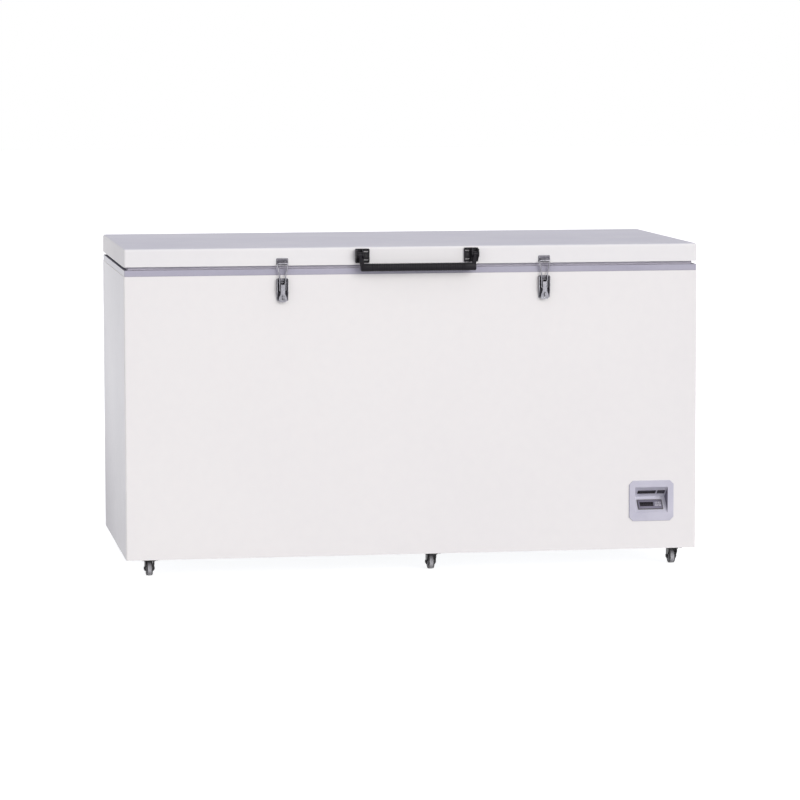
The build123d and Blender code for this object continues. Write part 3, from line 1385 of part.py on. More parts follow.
grille_z = (grille_bottom + grille_top) / 2
side_plane = Plane(origin=(SIDE, SIDE_GRILLE_Y, grille_z), x_dir=(0, 1, 0), z_dir=(1, 0, 0))
rear_plane = Plane(origin=(REAR_GRILLE_X, REAR, grille_z), x_dir=(-1, 0, 0), z_dir=(0, 1, 0))
side_grille = air_grille(side_plane, SIDE_GRILLE_WIDTH, SIDE_GRILLE_HEIGHT)
rear_grille = air_grille(rear_plane, REAR_GRILLE_WIDTH, SIDE_GRILLE_HEIGHT)
save(Compound(children=[side_grille, rear_grille]), "air_grilles")

# Probe port through the rear wall: a sleeve, and a stopper in its outer end
port_plane = Plane(origin=(PORT_X, REAR, port_z), x_dir=(-1, 0, 0), z_dir=(0, 1, 0))
with BuildPart() as port_sleeve:
    with BuildSketch(port_plane):
        Circle(PORT_FLANGE)
    extrude(amount=PORT_WALL)
    with BuildSketch(port_plane):
        Circle(PORT_RADIUS + PORT_WALL)
    extrude(amount=-(WALL - LINER))
    with BuildSketch(port_plane.offset(PORT_WALL)):
        Circle(PORT_RADIUS)
    extrude(amount=-(WALL - LINER + PORT_WALL), mode=Mode.SUBTRACT)
with BuildPart() as port_stopper:
    with BuildSketch(port_plane.offset(PORT_WALL)):
        Circle(PORT_RADIUS + 3 * PORT_WALL)
    extrude(amount=PORT_CAP)
    fillet(faces().sort_by(Axis.Y)[-1].edges(), PORT_WALL)
    with BuildSketch(port_plane.offset(PORT_WALL)):
        Circle(PORT_RADIUS)
    extrude(amount=-WALL / 2)
save(Compound(children=[port_sleeve.part, port_stopper.part]), "probe_port")

# Rear spacers that keep the back off a wall
with BuildPart() as rear_spacers:
    with Locations(*[(side * SPACER_X, REAR, z) for side in (-1, 1) for z in SPACER_HEIGHTS]):
        with Locations(Location((0, 0, 0), (-90, 0, 0))):
            Cone(
                SPACER_SIZE / 2,
                SPACER_SIZE / 3,
                SPACER_REACH,
                align=(Align.CENTER, Align.CENTER, Align.MIN),
            )
save(rear_spacers.part, "rear_spacers")

# Screws on the rear: four for each hinge leaf
leaf_middle = leaf_top - HINGE_LEAF_HEIGHT / 2
screw_x = ear_out - HINGE_EAR - 2 * SCREW_HEAD
with BuildPart() as hinge_screws:
    for x in HINGE_OFFSETS:
        with Locations((x, REAR + HINGE_LEAF, leaf_middle)):
            with Locations(Location((0, 0, 0), (-90, 0, 0))):
                with GridLocations(2 * screw_x, HINGE_LEAF_HEIGHT / 2, 2, 2):
                    Cylinder(SCREW_HEAD, SCREW_RISE, align=(Align.CENTER, Align.CENTER, Align.MIN))
save(hinge_screws.part, "hinge_screws")

# Casters: bolted plates with bearings, forks that swivel, and wheels that roll
plate_low = CASTER_HEIGHT - CASTER_PLATE
wheel_z = WHEEL_DIAMETER / 2
fork_low = WHEEL_DIAMETER + FORK_SHEET
fork_high = fork_low + FORK_SHEET
leg_inside = HUB_WIDTH / 2 + SIDE_CLEARANCE


def caster_plate(x, y):
    """Top plate, bearing race and kingpin of one caster."""
    with BuildPart() as plate:
        with BuildSketch(Plane(origin=(x, y, plate_low))):
            RectangleRounded(CASTER_PLATE_SIZE, CASTER_PLATE_SIZE, CASTER_HOLE_RADIUS)
            with GridLocations(CASTER_HOLES, CASTER_HOLES, 2, 2):
                Circle(CASTER_HOLE_RADIUS, mode=Mode.SUBTRACT)
        extrude(amount=CASTER_PLATE)
        with BuildSketch(Plane(origin=(x, y, fork_high + CASTER_GAP))):
            Circle(RACE_RADIUS)
        extrude(amount=plate_low - fork_high - CASTER_GAP)
        with BuildSketch(Plane(origin=(x, y, fork_low - CASTER_GAP))):
            Circle(KINGPIN_RADIUS)
        extrude(amount=plate_low - fork_low + CASTER_GAP)
        with BuildSketch(Plane(origin=(x, y, fork_low - CASTER_GAP - FORK_SHEET))):
            Circle(KINGPIN_HEAD)
        extrude(amount=FORK_SHEET)
    return plate.part


def caster_fork():
    """Pressed fork with two legs, and the axle riveted through them."""
    with BuildPart() as fork:
        with BuildSketch(Plane.XY.offset(fork_low)):
            Circle(FORK_RADIUS)
            with Locations((0, CASTER_TRAIL / 2)):
                Rectangle(2 * (leg_inside + FORK_SHEET), CASTER_TRAIL + 2 * FORK_LEG)
            Circle(KINGPIN_RADIUS + RUNNING_CLEARANCE, mode=Mode.SUBTRACT)
        extrude(amount=FORK_SHEET)
        for low in (-leg_inside - FORK_SHEET, leg_inside):
            with BuildSketch(cross_plane(low)):
                with BuildLine():
                    Polyline(
                        (-FORK_LEG, fork_high),
                        (CASTER_TRAIL + FORK_LEG, fork_high),
                        (CASTER_TRAIL + FORK_LEG, wheel_z),
                        (CASTER_TRAIL - FORK_LEG, wheel_z),
                        (-FORK_LEG, fork_low - FORK_LEG),
                        close=True,
                    )
                make_face()
                with Locations((CASTER_TRAIL, wheel_z)):
                    Circle(FORK_LEG)
                    Circle(AXLE_RADIUS, mode=Mode.SUBTRACT)
            extrude(amount=FORK_SHEET)
    with BuildPart() as axle:
        with Locations((0, CASTER_TRAIL, wheel_z)):
            Cylinder(AXLE_RADIUS, 2 * (leg_inside + FORK_SHEET), rotation=(0, 90, 0))
            for side in (-1, 1):
                with Locations((side * (leg_inside + 1.5 * FORK_SHEET), 0, 0)):
                    Cylinder(AXLE_HEAD, FORK_SHEET, rotation=(0, 90, 0))
    return [fork.part, axle.part]


def caster_wheel():
    """Rubber wheel with bevelled tread and a hub that stands out at both sides."""
    with BuildPart() as wheel:
        with Locations((0, CASTER_TRAIL, wheel_z)):
            Cylinder(WHEEL_DIAMETER / 2, WHEEL_WIDTH, rotation=(0, 90, 0))
        chamfer(edges(), WHEEL_BEVEL)
        with Locations((0, CASTER_TRAIL, wheel_z)):
            Cylinder(HUB_RADIUS, HUB_WIDTH, rotation=(0, 90, 0))
            Cylinder(AXLE_RADIUS + RUNNING_CLEARANCE, HUB_WIDTH, rotation=(0, 90, 0), mode=Mode.SUBTRACT)
    return wheel.part


caster_spots = [
    (side_name + "_" + end_name, x, side * caster_y)
    for side, side_name in ((-1, "front"), (1, "rear"))
    for x, end_name in zip(CASTER_X, ("left", "middle", "right"))
]
save(Compound(children=[caster_plate(x, y) for _, x, y in caster_spots]), "caster_plates")
fork_pieces = caster_fork()
wheel_piece = caster_wheel()
for name, x, y in caster_spots:
    spot = Location((x, y, 0))
    save(Compound(children=[piece.moved(spot) for piece in fork_pieces]), "caster_" + name + "_fork")
    save(wheel_piece.moved(spot), "caster_" + name + "_wheel")
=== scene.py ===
# %% [markdown]
# # Dressing a chest freezer
# The freezer comes in as a finished CAD model: every sheet, latch and caster is already the right
# size and in the right place. This lesson leaves those shapes alone. It gives each one a finish
# that behaves like the real paint, plastic or steel, and adds the small pieces that CAD leaves out.
#
# Places are in metres, because Blender's scene unit is the metre. The outlines of small pieces are
# written in millimetres, which are easier to read, and MM turns them into metres.

import json
import math

import bmesh
import bpy
from mathutils import Matrix, Vector


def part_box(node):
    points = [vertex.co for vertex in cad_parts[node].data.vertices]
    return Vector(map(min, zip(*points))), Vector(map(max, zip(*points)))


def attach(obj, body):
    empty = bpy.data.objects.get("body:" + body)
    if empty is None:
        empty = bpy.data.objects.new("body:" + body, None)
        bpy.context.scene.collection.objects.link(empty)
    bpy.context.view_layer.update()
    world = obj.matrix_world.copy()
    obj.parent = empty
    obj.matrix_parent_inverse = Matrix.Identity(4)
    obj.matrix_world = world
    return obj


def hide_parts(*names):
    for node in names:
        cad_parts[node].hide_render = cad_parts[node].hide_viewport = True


MM = 0.001

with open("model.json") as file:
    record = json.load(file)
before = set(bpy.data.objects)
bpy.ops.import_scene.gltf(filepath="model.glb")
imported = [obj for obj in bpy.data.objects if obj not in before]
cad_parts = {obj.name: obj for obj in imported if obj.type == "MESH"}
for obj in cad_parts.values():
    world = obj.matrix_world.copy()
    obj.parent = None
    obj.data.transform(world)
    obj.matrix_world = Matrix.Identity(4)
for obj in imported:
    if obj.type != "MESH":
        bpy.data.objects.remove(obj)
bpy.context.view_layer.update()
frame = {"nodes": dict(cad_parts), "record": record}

# %% [markdown]
# ## The camera comes first
# A product photograph taken with a long lens has nearly parallel edges. The numbers below were
# found by matching the corners of the cabinet and the lid to where they fall in the picture: the
# camera stands eleven and a half metres away, turned nine degrees to the right and tipped six
# degrees down. Building the camera's axes from those angles is surer than aiming it at a target by
# eye.

# %% Camera at the photograph's place
PHOTO_PIXELS = 800
FOCAL_PIXELS = 3660
CAMERA_PLACE = Vector((-1.8001, -11.6060, 1.6902))
CAMERA_YAW = math.radians(8.922)
CAMERA_TILT = math.radians(5.778)
CAMERA_ROLL = math.radians(-0.102)


def camera_axes(yaw, tilt, roll):
    """Right, up and back axes of a camera that looks along +Y before it is turned."""
    right = Vector((math.cos(yaw), -math.sin(yaw), 0))
    level = Vector((math.sin(yaw), math.cos(yaw), 0))
    forward = level * math.cos(tilt) - Vector((0, 0, math.sin(tilt)))
    up = level * math.sin(tilt) + Vector((0, 0, math.cos(tilt)))
    turned_right = right * math.cos(roll) + up * math.sin(roll)
    turned_up = up * math.cos(roll) - right * math.sin(roll)
    return turned_right, turned_up, -forward


def add_object(name, data):
    """Makes an object from a mesh, a camera or a light and puts it in the scene."""
    thing = bpy.data.objects.new(name, data)
    bpy.context.scene.collection.objects.link(thing)
    return thing


camera_data = bpy.data.cameras.new("photo_camera")
camera_data.sensor_width = 36
camera_data.lens = FOCAL_PIXELS / PHOTO_PIXELS * camera_data.sensor_width
camera_data.clip_end = 100
camera = add_object("photo_camera", camera_data)
axes = Matrix(camera_axes(CAMERA_YAW, CAMERA_TILT, CAMERA_ROLL)).transposed()
camera.matrix_world = Matrix.Translation(CAMERA_PLACE) @ axes.to_4x4()
bpy.context.scene.camera = camera
print("lens", round(camera_data.lens, 1), "mm")

# %% [markdown]
# ## Helpers for node trees
# A material is a graph of nodes. Four small helpers keep the graphs short to write: one sets or
# links a node's inputs, one adds a node, one makes an empty node group with named sockets, and one
# places a group in a material. Named sockets matter, because a group can then be read like a
# function.

# %% Helpers that add nodes and groups
def fill(tree, node, inputs):
    """Sets each input of a node, or links it when the value is another node's output."""
    for name, value in inputs.items():
        if isinstance(value, bpy.types.NodeSocket):
            tree.links.new(value, node.inputs[name])
        else:
            node.inputs[name].default_value = value
    return node


def add_node(tree, kind, inputs, **settings):
    """Adds a node of a kind, such as Math, sets its properties and fills its inputs."""
    node = tree.nodes.new("ShaderNode" + kind)
    for name, value in settings.items():
        setattr(node, name, value)
    return fill(tree, node, inputs)


def new_group(name, inputs, outputs):
    """Makes a shader group. inputs gives each socket's first value, outputs each one's type."""
    group = bpy.data.node_groups.new(name, "ShaderNodeTree")
    for label, value in inputs.items():
        kind = "Float" if isinstance(value, float) else {3: "Vector", 4: "Color"}[len(value)]
        socket = group.interface.new_socket(label, in_out="INPUT", socket_type="NodeSocket" + kind)
        socket.default_value = value
    for label, kind in outputs.items():
        group.interface.new_socket(label, in_out="OUTPUT", socket_type="NodeSocket" + kind)
    return group, group.nodes.new("NodeGroupInput"), group.nodes.new("NodeGroupOutput")


def use_group(tree, group, **inputs):
    """Places a shared group in a material. Socket names use _ for a space."""
    named = {label.replace("_", " "): value for label, value in inputs.items()}
    return add_node(tree, "Group", named, node_tree=group)


print("scene unit in millimetres:", round(1 / MM))

# %% [markdown]
# The same few steps come back in every graph: clouds of noise, a value stretched from one range to
# another, a product, a mix of two colours, a place or a direction. Each gets a short name of its
# own, which hands back the socket that the next node needs.

# %% Short names for the steps that come back
def noise(tree, place, scale, detail):
    """Clouds between 0 and 1."""
    inputs = {"Vector": place, "Scale": scale, "Detail": detail}
    return add_node(tree, "TexNoise", inputs).outputs["Fac"]


def ramp(tree, value, low, high, to_low=0.0, to_high=1.0, **settings):
    """Stretches low to high into to_low to to_high, and stops at both ends."""
    limits = {"Value": value, "From Min": low, "From Max": high,
              "To Min": to_low, "To Max": to_high}
    return add_node(tree, "MapRange", limits, **settings).outputs["Result"]


def maths(tree, operation, *values, clamp=False):
    """One Math node on up to three values."""
    inputs = dict(enumerate(values))
    return add_node(tree, "Math", inputs, operation=operation, use_clamp=clamp).outputs["Value"]


def mixed(tree, mask, colour, other):
    """Goes from one colour to another by a mask."""
    return add_node(tree, "Mix", {0: mask, 6: colour, 7: other}, data_type="RGBA").outputs[2]


def mixed_values(tree, share, value, other):
    """Goes from one value to another by a share."""
    inputs = {"Factor": share, "A": value, "B": other}
    return add_node(tree, "Mix", inputs, data_type="FLOAT").outputs["Result"]


def own_place(tree):
    """The place on the object, in metres."""
    return add_node(tree, "TexCoord", {}).outputs["Object"]


def true_normal(tree):
    """The direction that the surface faces."""
    return add_node(tree, "NewGeometry", {}).outputs["Normal"]


def part_of(tree, vector, axis):
    """One of a vector's three numbers."""
    return add_node(tree, "SeparateXYZ", {"Vector": vector}).outputs[axis]


def linear(red, green, blue):
    """Turns a colour picked from a screen, 0 to 255, into the linear colour that nodes use."""
    def channel(v):
        v /= 255
        return v / 12.92 if v <= 0.04045 else ((v + 0.055) / 1.055) ** 2.4
    return (channel(red), channel(green), channel(blue), 1.0)


print("white paint in linear light:", [round(v, 3) for v in linear(238, 236, 234)])

# %% [markdown]
# ## Shared effects
# Real finishes are never one flat colour. Four effects appear again and again on this freezer, so
# each is built once as a group and placed in many materials with different amounts:
#
# - **drift**: the slow change of tone across a large sheet, and a finer one on top
# - **grain**: the small bumps of powder coat, moulded plastic or rubber
# - **worn edge**: where handling rubs the outer edges
# - **dust and painted shade**: a thin grey film on faces that look up, which is dust on most
#   finishes and painted shade on the lid's top, and painted shade in tight corners

# %% Shared effect: drift of tone
drift_group, start, end = new_group(
    "tone_drift",
    {"Scale": 2.0, "Tone": (0.8, 0.8, 0.8, 1), "Other Tone": (0.7, 0.7, 0.7, 1),
     "Fine Scale": 60.0, "Fine Share": 0.25},
    {"Colour": "Color", "Mask": "Float"},
)
place = own_place(drift_group)
broad = noise(drift_group, place, start.outputs["Scale"], 2.0)
fine = noise(drift_group, place, start.outputs["Fine Scale"], 3.0)
both = mixed_values(drift_group, start.outputs["Fine Share"], broad, fine)
spread = ramp(drift_group, both, 0.35, 0.65)  # noise seldom leaves this range
toned = mixed(drift_group, spread, start.outputs["Tone"], start.outputs["Other Tone"])
fill(drift_group, end, {"Colour": toned, "Mask": spread})
print("group", drift_group.name, "has", len(drift_group.nodes), "nodes")

# %% Shared effect: grain
grain_group, start, end = new_group(
    "surface_grain",
    {"Scale": 900.0, "Second Scale": 250.0, "Second Share": 0.4, "Stretch": (1.0, 1.0, 1.0)},
    {"Height": "Float"},
)
stretched = add_node(
    grain_group, "VectorMath", {0: own_place(grain_group), 1: start.outputs["Stretch"]},
    operation="MULTIPLY").outputs["Vector"]
small = noise(grain_group, stretched, start.outputs["Scale"], 2.0)
wide = noise(grain_group, stretched, start.outputs["Second Scale"], 1.0)
height = mixed_values(grain_group, start.outputs["Second Share"], small, wide)
fill(grain_group, end, {"Height": height})
print("group", grain_group.name, "has", len(grain_group.nodes), "nodes")

# %% [markdown]
# The worn edge compares two normals. The Bevel node gives the normal that the surface would have if
# its edges were rounded; where that differs from the true normal, an edge is near. A noise breaks
# the band up, because nobody rubs an edge evenly.

# %% Shared effect: worn edges
wear_group, start, end = new_group(
    "worn_edge", {"Width": 0.002, "Break Scale": 90.0, "Amount": 0.5}, {"Mask": "Float"})
rounded = add_node(wear_group, "Bevel", {"Radius": start.outputs["Width"]},
                   samples=4).outputs["Normal"]
alike = add_node(wear_group, "VectorMath", {0: rounded, 1: true_normal(wear_group)},
                 operation="DOT_PRODUCT").outputs["Value"]
near_edge = ramp(wear_group, alike, 1.0, 0.8)
patches = noise(wear_group, own_place(wear_group), start.outputs["Break Scale"], 4.0)
worn = maths(wear_group, "MULTIPLY", near_edge, ramp(wear_group, patches, 0.42, 0.62))
worn = maths(wear_group, "MULTIPLY", worn, start.outputs["Amount"], clamp=True)
fill(wear_group, end, {"Mask": worn})
print("group", wear_group.name, "has", len(wear_group.nodes), "nodes")

# %% [markdown]
# Dust falls, so it lies on faces that look up, in soft clouds; on the lid's top the same film is
# painted shade. Corners take the mask too: a little dust stays where a cloth doesn't reach, but the
# dark corner tones are mostly painted shade, and the panel's pale one is painted light. Ambient
# occlusion finds those corners: it measures how much of its surroundings a place sees.

# %% Shared effect: settled dust and painted corner shade
dust_and_shade_group, start, end = new_group(
    "settled_dust", {"Reach": 0.03, "On Top": 0.3, "In Corners": 0.5}, {"Mask": "Float"})
# Painted shade: corners that see little of their surroundings take the finish's corner tone.
open_to_air = add_node(dust_and_shade_group, "AmbientOcclusion", {"Distance": start.outputs["Reach"]},
                       samples=4).outputs["AO"]
corner = ramp(dust_and_shade_group, open_to_air, 0.9, 0.3)  # 1 is wide open, 0 is shut in
corner = maths(dust_and_shade_group, "MULTIPLY", corner, start.outputs["In Corners"])
upward = ramp(dust_and_shade_group, part_of(dust_and_shade_group, true_normal(dust_and_shade_group), "Z"), 0.55, 1.0)
clouds = noise(dust_and_shade_group, own_place(dust_and_shade_group), 7.0, 5.0)
clouds = ramp(dust_and_shade_group, clouds, 0.25, 0.6, to_low=0.86)
top = maths(dust_and_shade_group, "MULTIPLY", upward, clouds)
top = maths(dust_and_shade_group, "MULTIPLY", top, start.outputs["On Top"])
fill(dust_and_shade_group, end, {"Mask": maths(dust_and_shade_group, "ADD", top, corner, clamp=True)})
print("group", dust_and_shade_group.name, "has", len(dust_and_shade_group.nodes), "nodes")

# %% [markdown]
# ## Masks that only some finishes use
# Two more masks depend on the freezer itself. Faces that look sideways catch another light than the
# front, and the photograph shows it on the collar's ends and in the panel's recess; a tone on those
# faces paints that light and shade in. The cabinet's side is painted darker towards its foot, as
# painted shade near the floor.

# %% Sideways faces and painted shade near the floor
# The first tone is for dust and painted corner shade; the second, with the two heights below,
# paints shade near the floor.
DUST_AND_SHADE_TONE, FLOOR_SHADE_TONE = (176, 173, 172), (150, 144, 150)
FLOOR_SHADE_TOP, FLOOR_SHADE_FULL = 0.62, 0.12


def faces_sideways(tree, only_left):
    """One on faces that look along X, or only on those that look to the left."""
    across = part_of(tree, true_normal(tree), "X")
    operation, sign = ("MULTIPLY", [-1.0]) if only_left else ("ABSOLUTE", [])
    return ramp(tree, maths(tree, operation, across, *sign), 0.6, 0.8)


def near_floor(tree, amount):
    """Painted shade near the floor: rises unevenly to amount, from the top shade height down to the
    full one.
    """
    place = own_place(tree)
    low = ramp(tree, part_of(tree, place, "Z"), FLOOR_SHADE_TOP, FLOOR_SHADE_FULL, to_high=amount,
               interpolation_type="SMOOTHSTEP")
    uneven = ramp(tree, noise(tree, place, 5.0, 4.0), 0.0, 1.0, 0.75, 1.25)
    return maths(tree, "MULTIPLY", low, uneven, clamp=True)


print("floor_shade in linear light:", [round(v, 3) for v in linear(*FLOOR_SHADE_TONE)])

# %% [markdown]
# ## Families of finish
# The freezer's thirty or so finishes fall into four families. All are made by one function that
# wires the shared effects into one Principled shader; each finish is then one call with its own
# colours and amounts. Gloss that is the same all over is set on the shader's own socket.

# %% One shader for every family
finishes = {}


def finish(word, name, tone, other_tone, roughness, *, drift=2.0, fine=60.0, metallic=0.0,
           specular=0.5, grain=900.0, second_grain=250.0, stretch=(1, 1, 1), bump=0.1, depth=0.0001,
           wear_width=0.0015, wear=0.3, worn_tone=None, top_dust_and_shade=0.2, corner_dust_and_shade=0.3,
           dust_and_shade_tone=DUST_AND_SHADE_TONE, rough_spread=0.08, coat=0.0, end_tone=None, left_tone=None,
           low_floor_shade=0.0):
    """Builds one material: drifting colour, worn edges, a dusty film with painted shade in corners,
    uneven gloss and fine bumps.
    Tones are 0 to 255, scales are in waves per metre, and widths and depths are in metres."""
    material = bpy.data.materials.new(name)
    material.use_nodes = True
    tree = material.node_tree
    tone = linear(*tone)
    brighter = tuple(min(1.0, v * 1.25) for v in tone[:3]) + (1.0,)
    tones = use_group(tree, drift_group, Scale=drift, Fine_Scale=fine, Tone=tone,
                      Other_Tone=linear(*other_tone))
    edge = use_group(tree, wear_group, Width=wear_width, Amount=wear).outputs["Mask"]
    # This mask carries settled dust, and painted shade in corners and on the lid's top.
    dust = use_group(tree, dust_and_shade_group, On_Top=top_dust_and_shade, In_Corners=corner_dust_and_shade).outputs["Mask"]
    bare = linear(*worn_tone) if worn_tone else brighter
    colour = mixed(tree, edge, tones.outputs["Colour"], bare)
    colour = mixed(tree, dust, colour, linear(*dust_and_shade_tone))
    # Tones on faces that look sideways paint light and shade: paler on the collar's ends, darker on
    # the recess's right-hand wall.
    if end_tone:
        colour = mixed(tree, faces_sideways(tree, only_left=False), colour, linear(*end_tone))
    if left_tone:
        colour = mixed(tree, faces_sideways(tree, only_left=True), colour, linear(*left_tone))
    # Painted shade near the floor, darker towards the foot.
    if low_floor_shade:
        colour = mixed(tree, near_floor(tree, low_floor_shade), colour, linear(*FLOOR_SHADE_TONE))
    gloss = ramp(tree, tones.outputs["Mask"], 0.0, 1.0, roughness - rough_spread,
                 roughness + rough_spread)
    grains = use_group(tree, grain_group, Scale=grain, Second_Scale=second_grain, Stretch=stretch)
    raised = add_node(tree, "Bump", {"Height": grains.outputs["Height"], "Strength": bump,
                                     "Distance": depth})
    fill(tree, tree.nodes["Principled BSDF"], {
        "Base Color": colour, "Metallic": metallic, "Specular IOR Level": specular,
        "Roughness": maths(tree, "MULTIPLY_ADD", dust, 0.3, gloss, clamp=True),
        "Coat Weight": coat, "Normal": raised.outputs["Normal"]})
    finishes[word] = material


# %% [markdown]
# ### Painted sheet steel
# The cabinet and the lid are powder coated. Powder flows as it cures and leaves a faint orange
# peel, a few millimetres across and a few hundredths deep, which breaks reflections up without
# looking rough. Edges stay covered, so wear here only polishes them a little.

# %% Paint
POWDER = dict(fine=35, grain=1400, second_grain=330, depth=0.0002, wear=0.15)
finish("white_paint", "white_powder_coat", (241, 238, 236), (237, 234, 233), 0.42, **POWDER,
       drift=0.9, bump=0.16, worn_tone=(248, 246, 245), top_dust_and_shade=0.1, corner_dust_and_shade=0.25,
       specular=0.4)
# The side is painted darker towards its foot: painted shade near the floor.
finish("side_paint", "side_powder_coat", (238, 237, 238), (233, 232, 234), 0.44, **POWDER,
       drift=0.9, bump=0.18, worn_tone=(247, 246, 246), top_dust_and_shade=0.1, corner_dust_and_shade=0.25,
       specular=0.4, low_floor_shade=0.3)
# The lid's strong top amount and grey-blue tone paint shade on its top, which looks up at the dim
# sky: painted shade, not dust.
finish("lid_paint", "lid_powder_coat", (240, 238, 237), (236, 234, 234), 0.5, **POWDER,
       drift=1.1, bump=0.16, worn_tone=(248, 246, 245), top_dust_and_shade=0.66, corner_dust_and_shade=0.15,
       dust_and_shade_tone=(196, 195, 209), specular=0.3)
finish("vessel_paint", "vessel_enamel", (36, 38, 41), (28, 29, 31), 0.38, drift=9, grain=700,
       bump=0.2, depth=0.0003, wear=0.5, top_dust_and_shade=0.5)
finish("machine_black", "compressor_enamel", (27, 28, 30), (20, 20, 22), 0.34, drift=8, grain=500,
       bump=0.2, depth=0.0004, wear=0.6, worn_tone=(70, 70, 72), top_dust_and_shade=0.6)
finish("box_paint", "electrical_box_paint", (184, 187, 190), (172, 175, 178), 0.5, drift=6,
       bump=0.2, depth=0.0002, top_dust_and_shade=0.5)
finish("fork_black", "caster_black_coat", (22, 22, 24), (15, 15, 17), 0.36, drift=30, fine=300,
       bump=0.25, wear_width=0.0008, wear=0.35, worn_tone=(84, 84, 88), top_dust_and_shade=0.2,
       corner_dust_and_shade=0.05, specular=0.35)
print("paints:", len(finishes))

# %% [markdown]
# ### Moulded plastic
# Plastic takes the texture of its mould. Handles and housings are spark eroded, which gives an even
# pebble about a third of a millimetre across. Pale plastic wears to a shine, black nylon to grey.

# %% Plastic
FINE_MOULD = dict(drift=30, fine=300, grain=3200, second_grain=1200, bump=0.3, depth=0.00012,
                  wear_width=0.0008)
CLEAR = dict(drift=50, fine=300, grain=4000, bump=0.02)
# In the panel's recess the pale corner tone is painted light, and the dark tone on faces that look
# left is painted shade on the recess's right-hand wall.
finish("panel_plastic", "panel_moulding", (201, 199, 212), (192, 190, 204), 0.5, drift=14,
       fine=200, grain=2600, second_grain=900, bump=0.25, depth=0.00015, wear=0.3,
       worn_tone=(222, 221, 230), corner_dust_and_shade=0.9, dust_and_shade_tone=(228, 227, 236), top_dust_and_shade=0.1,
       left_tone=(112, 108, 124))
# The collar's dark corner tone is painted shade along its edges under the lid's overhang, and the
# pale tone on its ends is painted light.
finish("collar_plastic", "collar_extrusion", (176, 173, 188), (168, 165, 181), 0.45, drift=3,
       fine=90, grain=1800, bump=0.2, depth=0.00012, stretch=(0.1, 0.1, 1), top_dust_and_shade=0.1,
       corner_dust_and_shade=0.9, dust_and_shade_tone=(92, 89, 102), end_tone=(222, 221, 225))
finish("liner_plastic", "lid_liner_moulding", (226, 227, 230), (217, 218, 222), 0.42, drift=3,
       bump=0.18, depth=0.00015, top_dust_and_shade=0.0, corner_dust_and_shade=0.2)
finish("black_nylon", "handle_nylon", (21, 17, 25), (12, 9, 15), 0.4, drift=25, fine=260,
       grain=3000, second_grain=1100, bump=0.35, depth=0.00018, wear_width=0.0012, wear=0.35,
       worn_tone=(70, 66, 78), top_dust_and_shade=0.04, corner_dust_and_shade=0.0, dust_and_shade_tone=(110, 110, 114),
       specular=0.2)
finish("dark_plastic", "housing_plastic", (42, 40, 50), (34, 32, 41), 0.4, **FINE_MOULD,
       wear=0.5, worn_tone=(110, 108, 120), top_dust_and_shade=0.2, corner_dust_and_shade=0.1)
# The rims and the controller's bezel take near-black corner tones: painted shade round their edges
# and at their feet.
finish("bezel_dark", "strip_rim_plastic", (74, 71, 82), (62, 59, 70), 0.42, **FINE_MOULD,
       wear=0.4, worn_tone=(130, 127, 140), top_dust_and_shade=0.1, corner_dust_and_shade=0.2, dust_and_shade_tone=(30, 27, 36))
finish("bezel_plastic", "bezel_plastic", (140, 136, 152), (128, 124, 140), 0.42, **FINE_MOULD,
       wear=0.4, worn_tone=(170, 167, 180), top_dust_and_shade=0.1, corner_dust_and_shade=0.6, dust_and_shade_tone=(22, 18, 28))
finish("key_plastic", "key_plastic", (206, 204, 214), (196, 193, 204), 0.4, drift=60, fine=400,
       grain=3200, bump=0.2, wear_width=0.0006, wear=0.5, dust_and_shade_tone=(120, 116, 128))
finish("window_plastic", "display_window", (18, 12, 24), (13, 9, 18), 0.12, **CLEAR,
       wear=0.1, top_dust_and_shade=0.1, corner_dust_and_shade=0.05, rough_spread=0.04, coat=0.4)
finish("unlit_segments", "unlit_segments", (46, 38, 52), (40, 33, 46), 0.3, **CLEAR,
       wear=0.0, top_dust_and_shade=0.0, corner_dust_and_shade=0.0, rough_spread=0.03)
finish("shroud_plastic", "fan_moulding", (38, 39, 41), (30, 31, 33), 0.5, drift=12, bump=0.3,
       depth=0.0002, top_dust_and_shade=0.5)
finish("grille_plastic", "grille_moulding", (206, 206, 210), (196, 196, 201), 0.5, drift=6,
       grain=2400, bump=0.25, depth=0.00015, top_dust_and_shade=0.4, corner_dust_and_shade=0.5)
print("paints and plastics:", len(finishes))

# %% [markdown]
# ### Metal left bare
# Stainless latches are tumbled after pressing, so their scratches run every way; the tank's sheet
# is brushed along its length. Stretching the grain's coordinates turns round bumps into long
# scratches.

# %% Bare metal
# Pressed stainless takes a near-black tone in its hollows: painted shade, strongest on the latches.
PRESSED = dict(drift=70, fine=500, metallic=1.0, grain=1500, second_grain=500,
               stretch=(1, 1, 0.12), bump=0.35, depth=0.00012, worn_tone=(236, 236, 240),
               top_dust_and_shade=0.0, dust_and_shade_tone=(26, 24, 30))
finish("stainless", "latch_stainless", (166, 165, 171), (122, 121, 128), 0.27, **PRESSED,
       wear=0.5, corner_dust_and_shade=1.3)
# A darker copy of the latch's stainless for the keepers, rivets and pin heads: painted shade.
finish("dark_stainless", "keeper_stainless", (132, 130, 137), (92, 90, 97), 0.3, **PRESSED,
       wear=0.6, corner_dust_and_shade=1.0)
finish("hinge_steel", "hinge_plated_steel", (142, 143, 147), (110, 111, 116), 0.4, drift=30,
       fine=250, metallic=1.0, bump=0.3, depth=0.00015, top_dust_and_shade=0.15, corner_dust_and_shade=0.5,
       dust_and_shade_tone=(70, 68, 70))
finish("zinc", "zinc_plate", (188, 187, 180), (150, 152, 156), 0.34, drift=90, fine=600,
       metallic=1.0, bump=0.3, top_dust_and_shade=0.1, corner_dust_and_shade=0.5, dust_and_shade_tone=(80, 78, 76))
finish("galvanised", "galvanised_sheet", (168, 172, 176), (138, 143, 149), 0.42, drift=45,
       fine=140, metallic=1.0, bump=0.25, depth=0.0002, top_dust_and_shade=0.5)
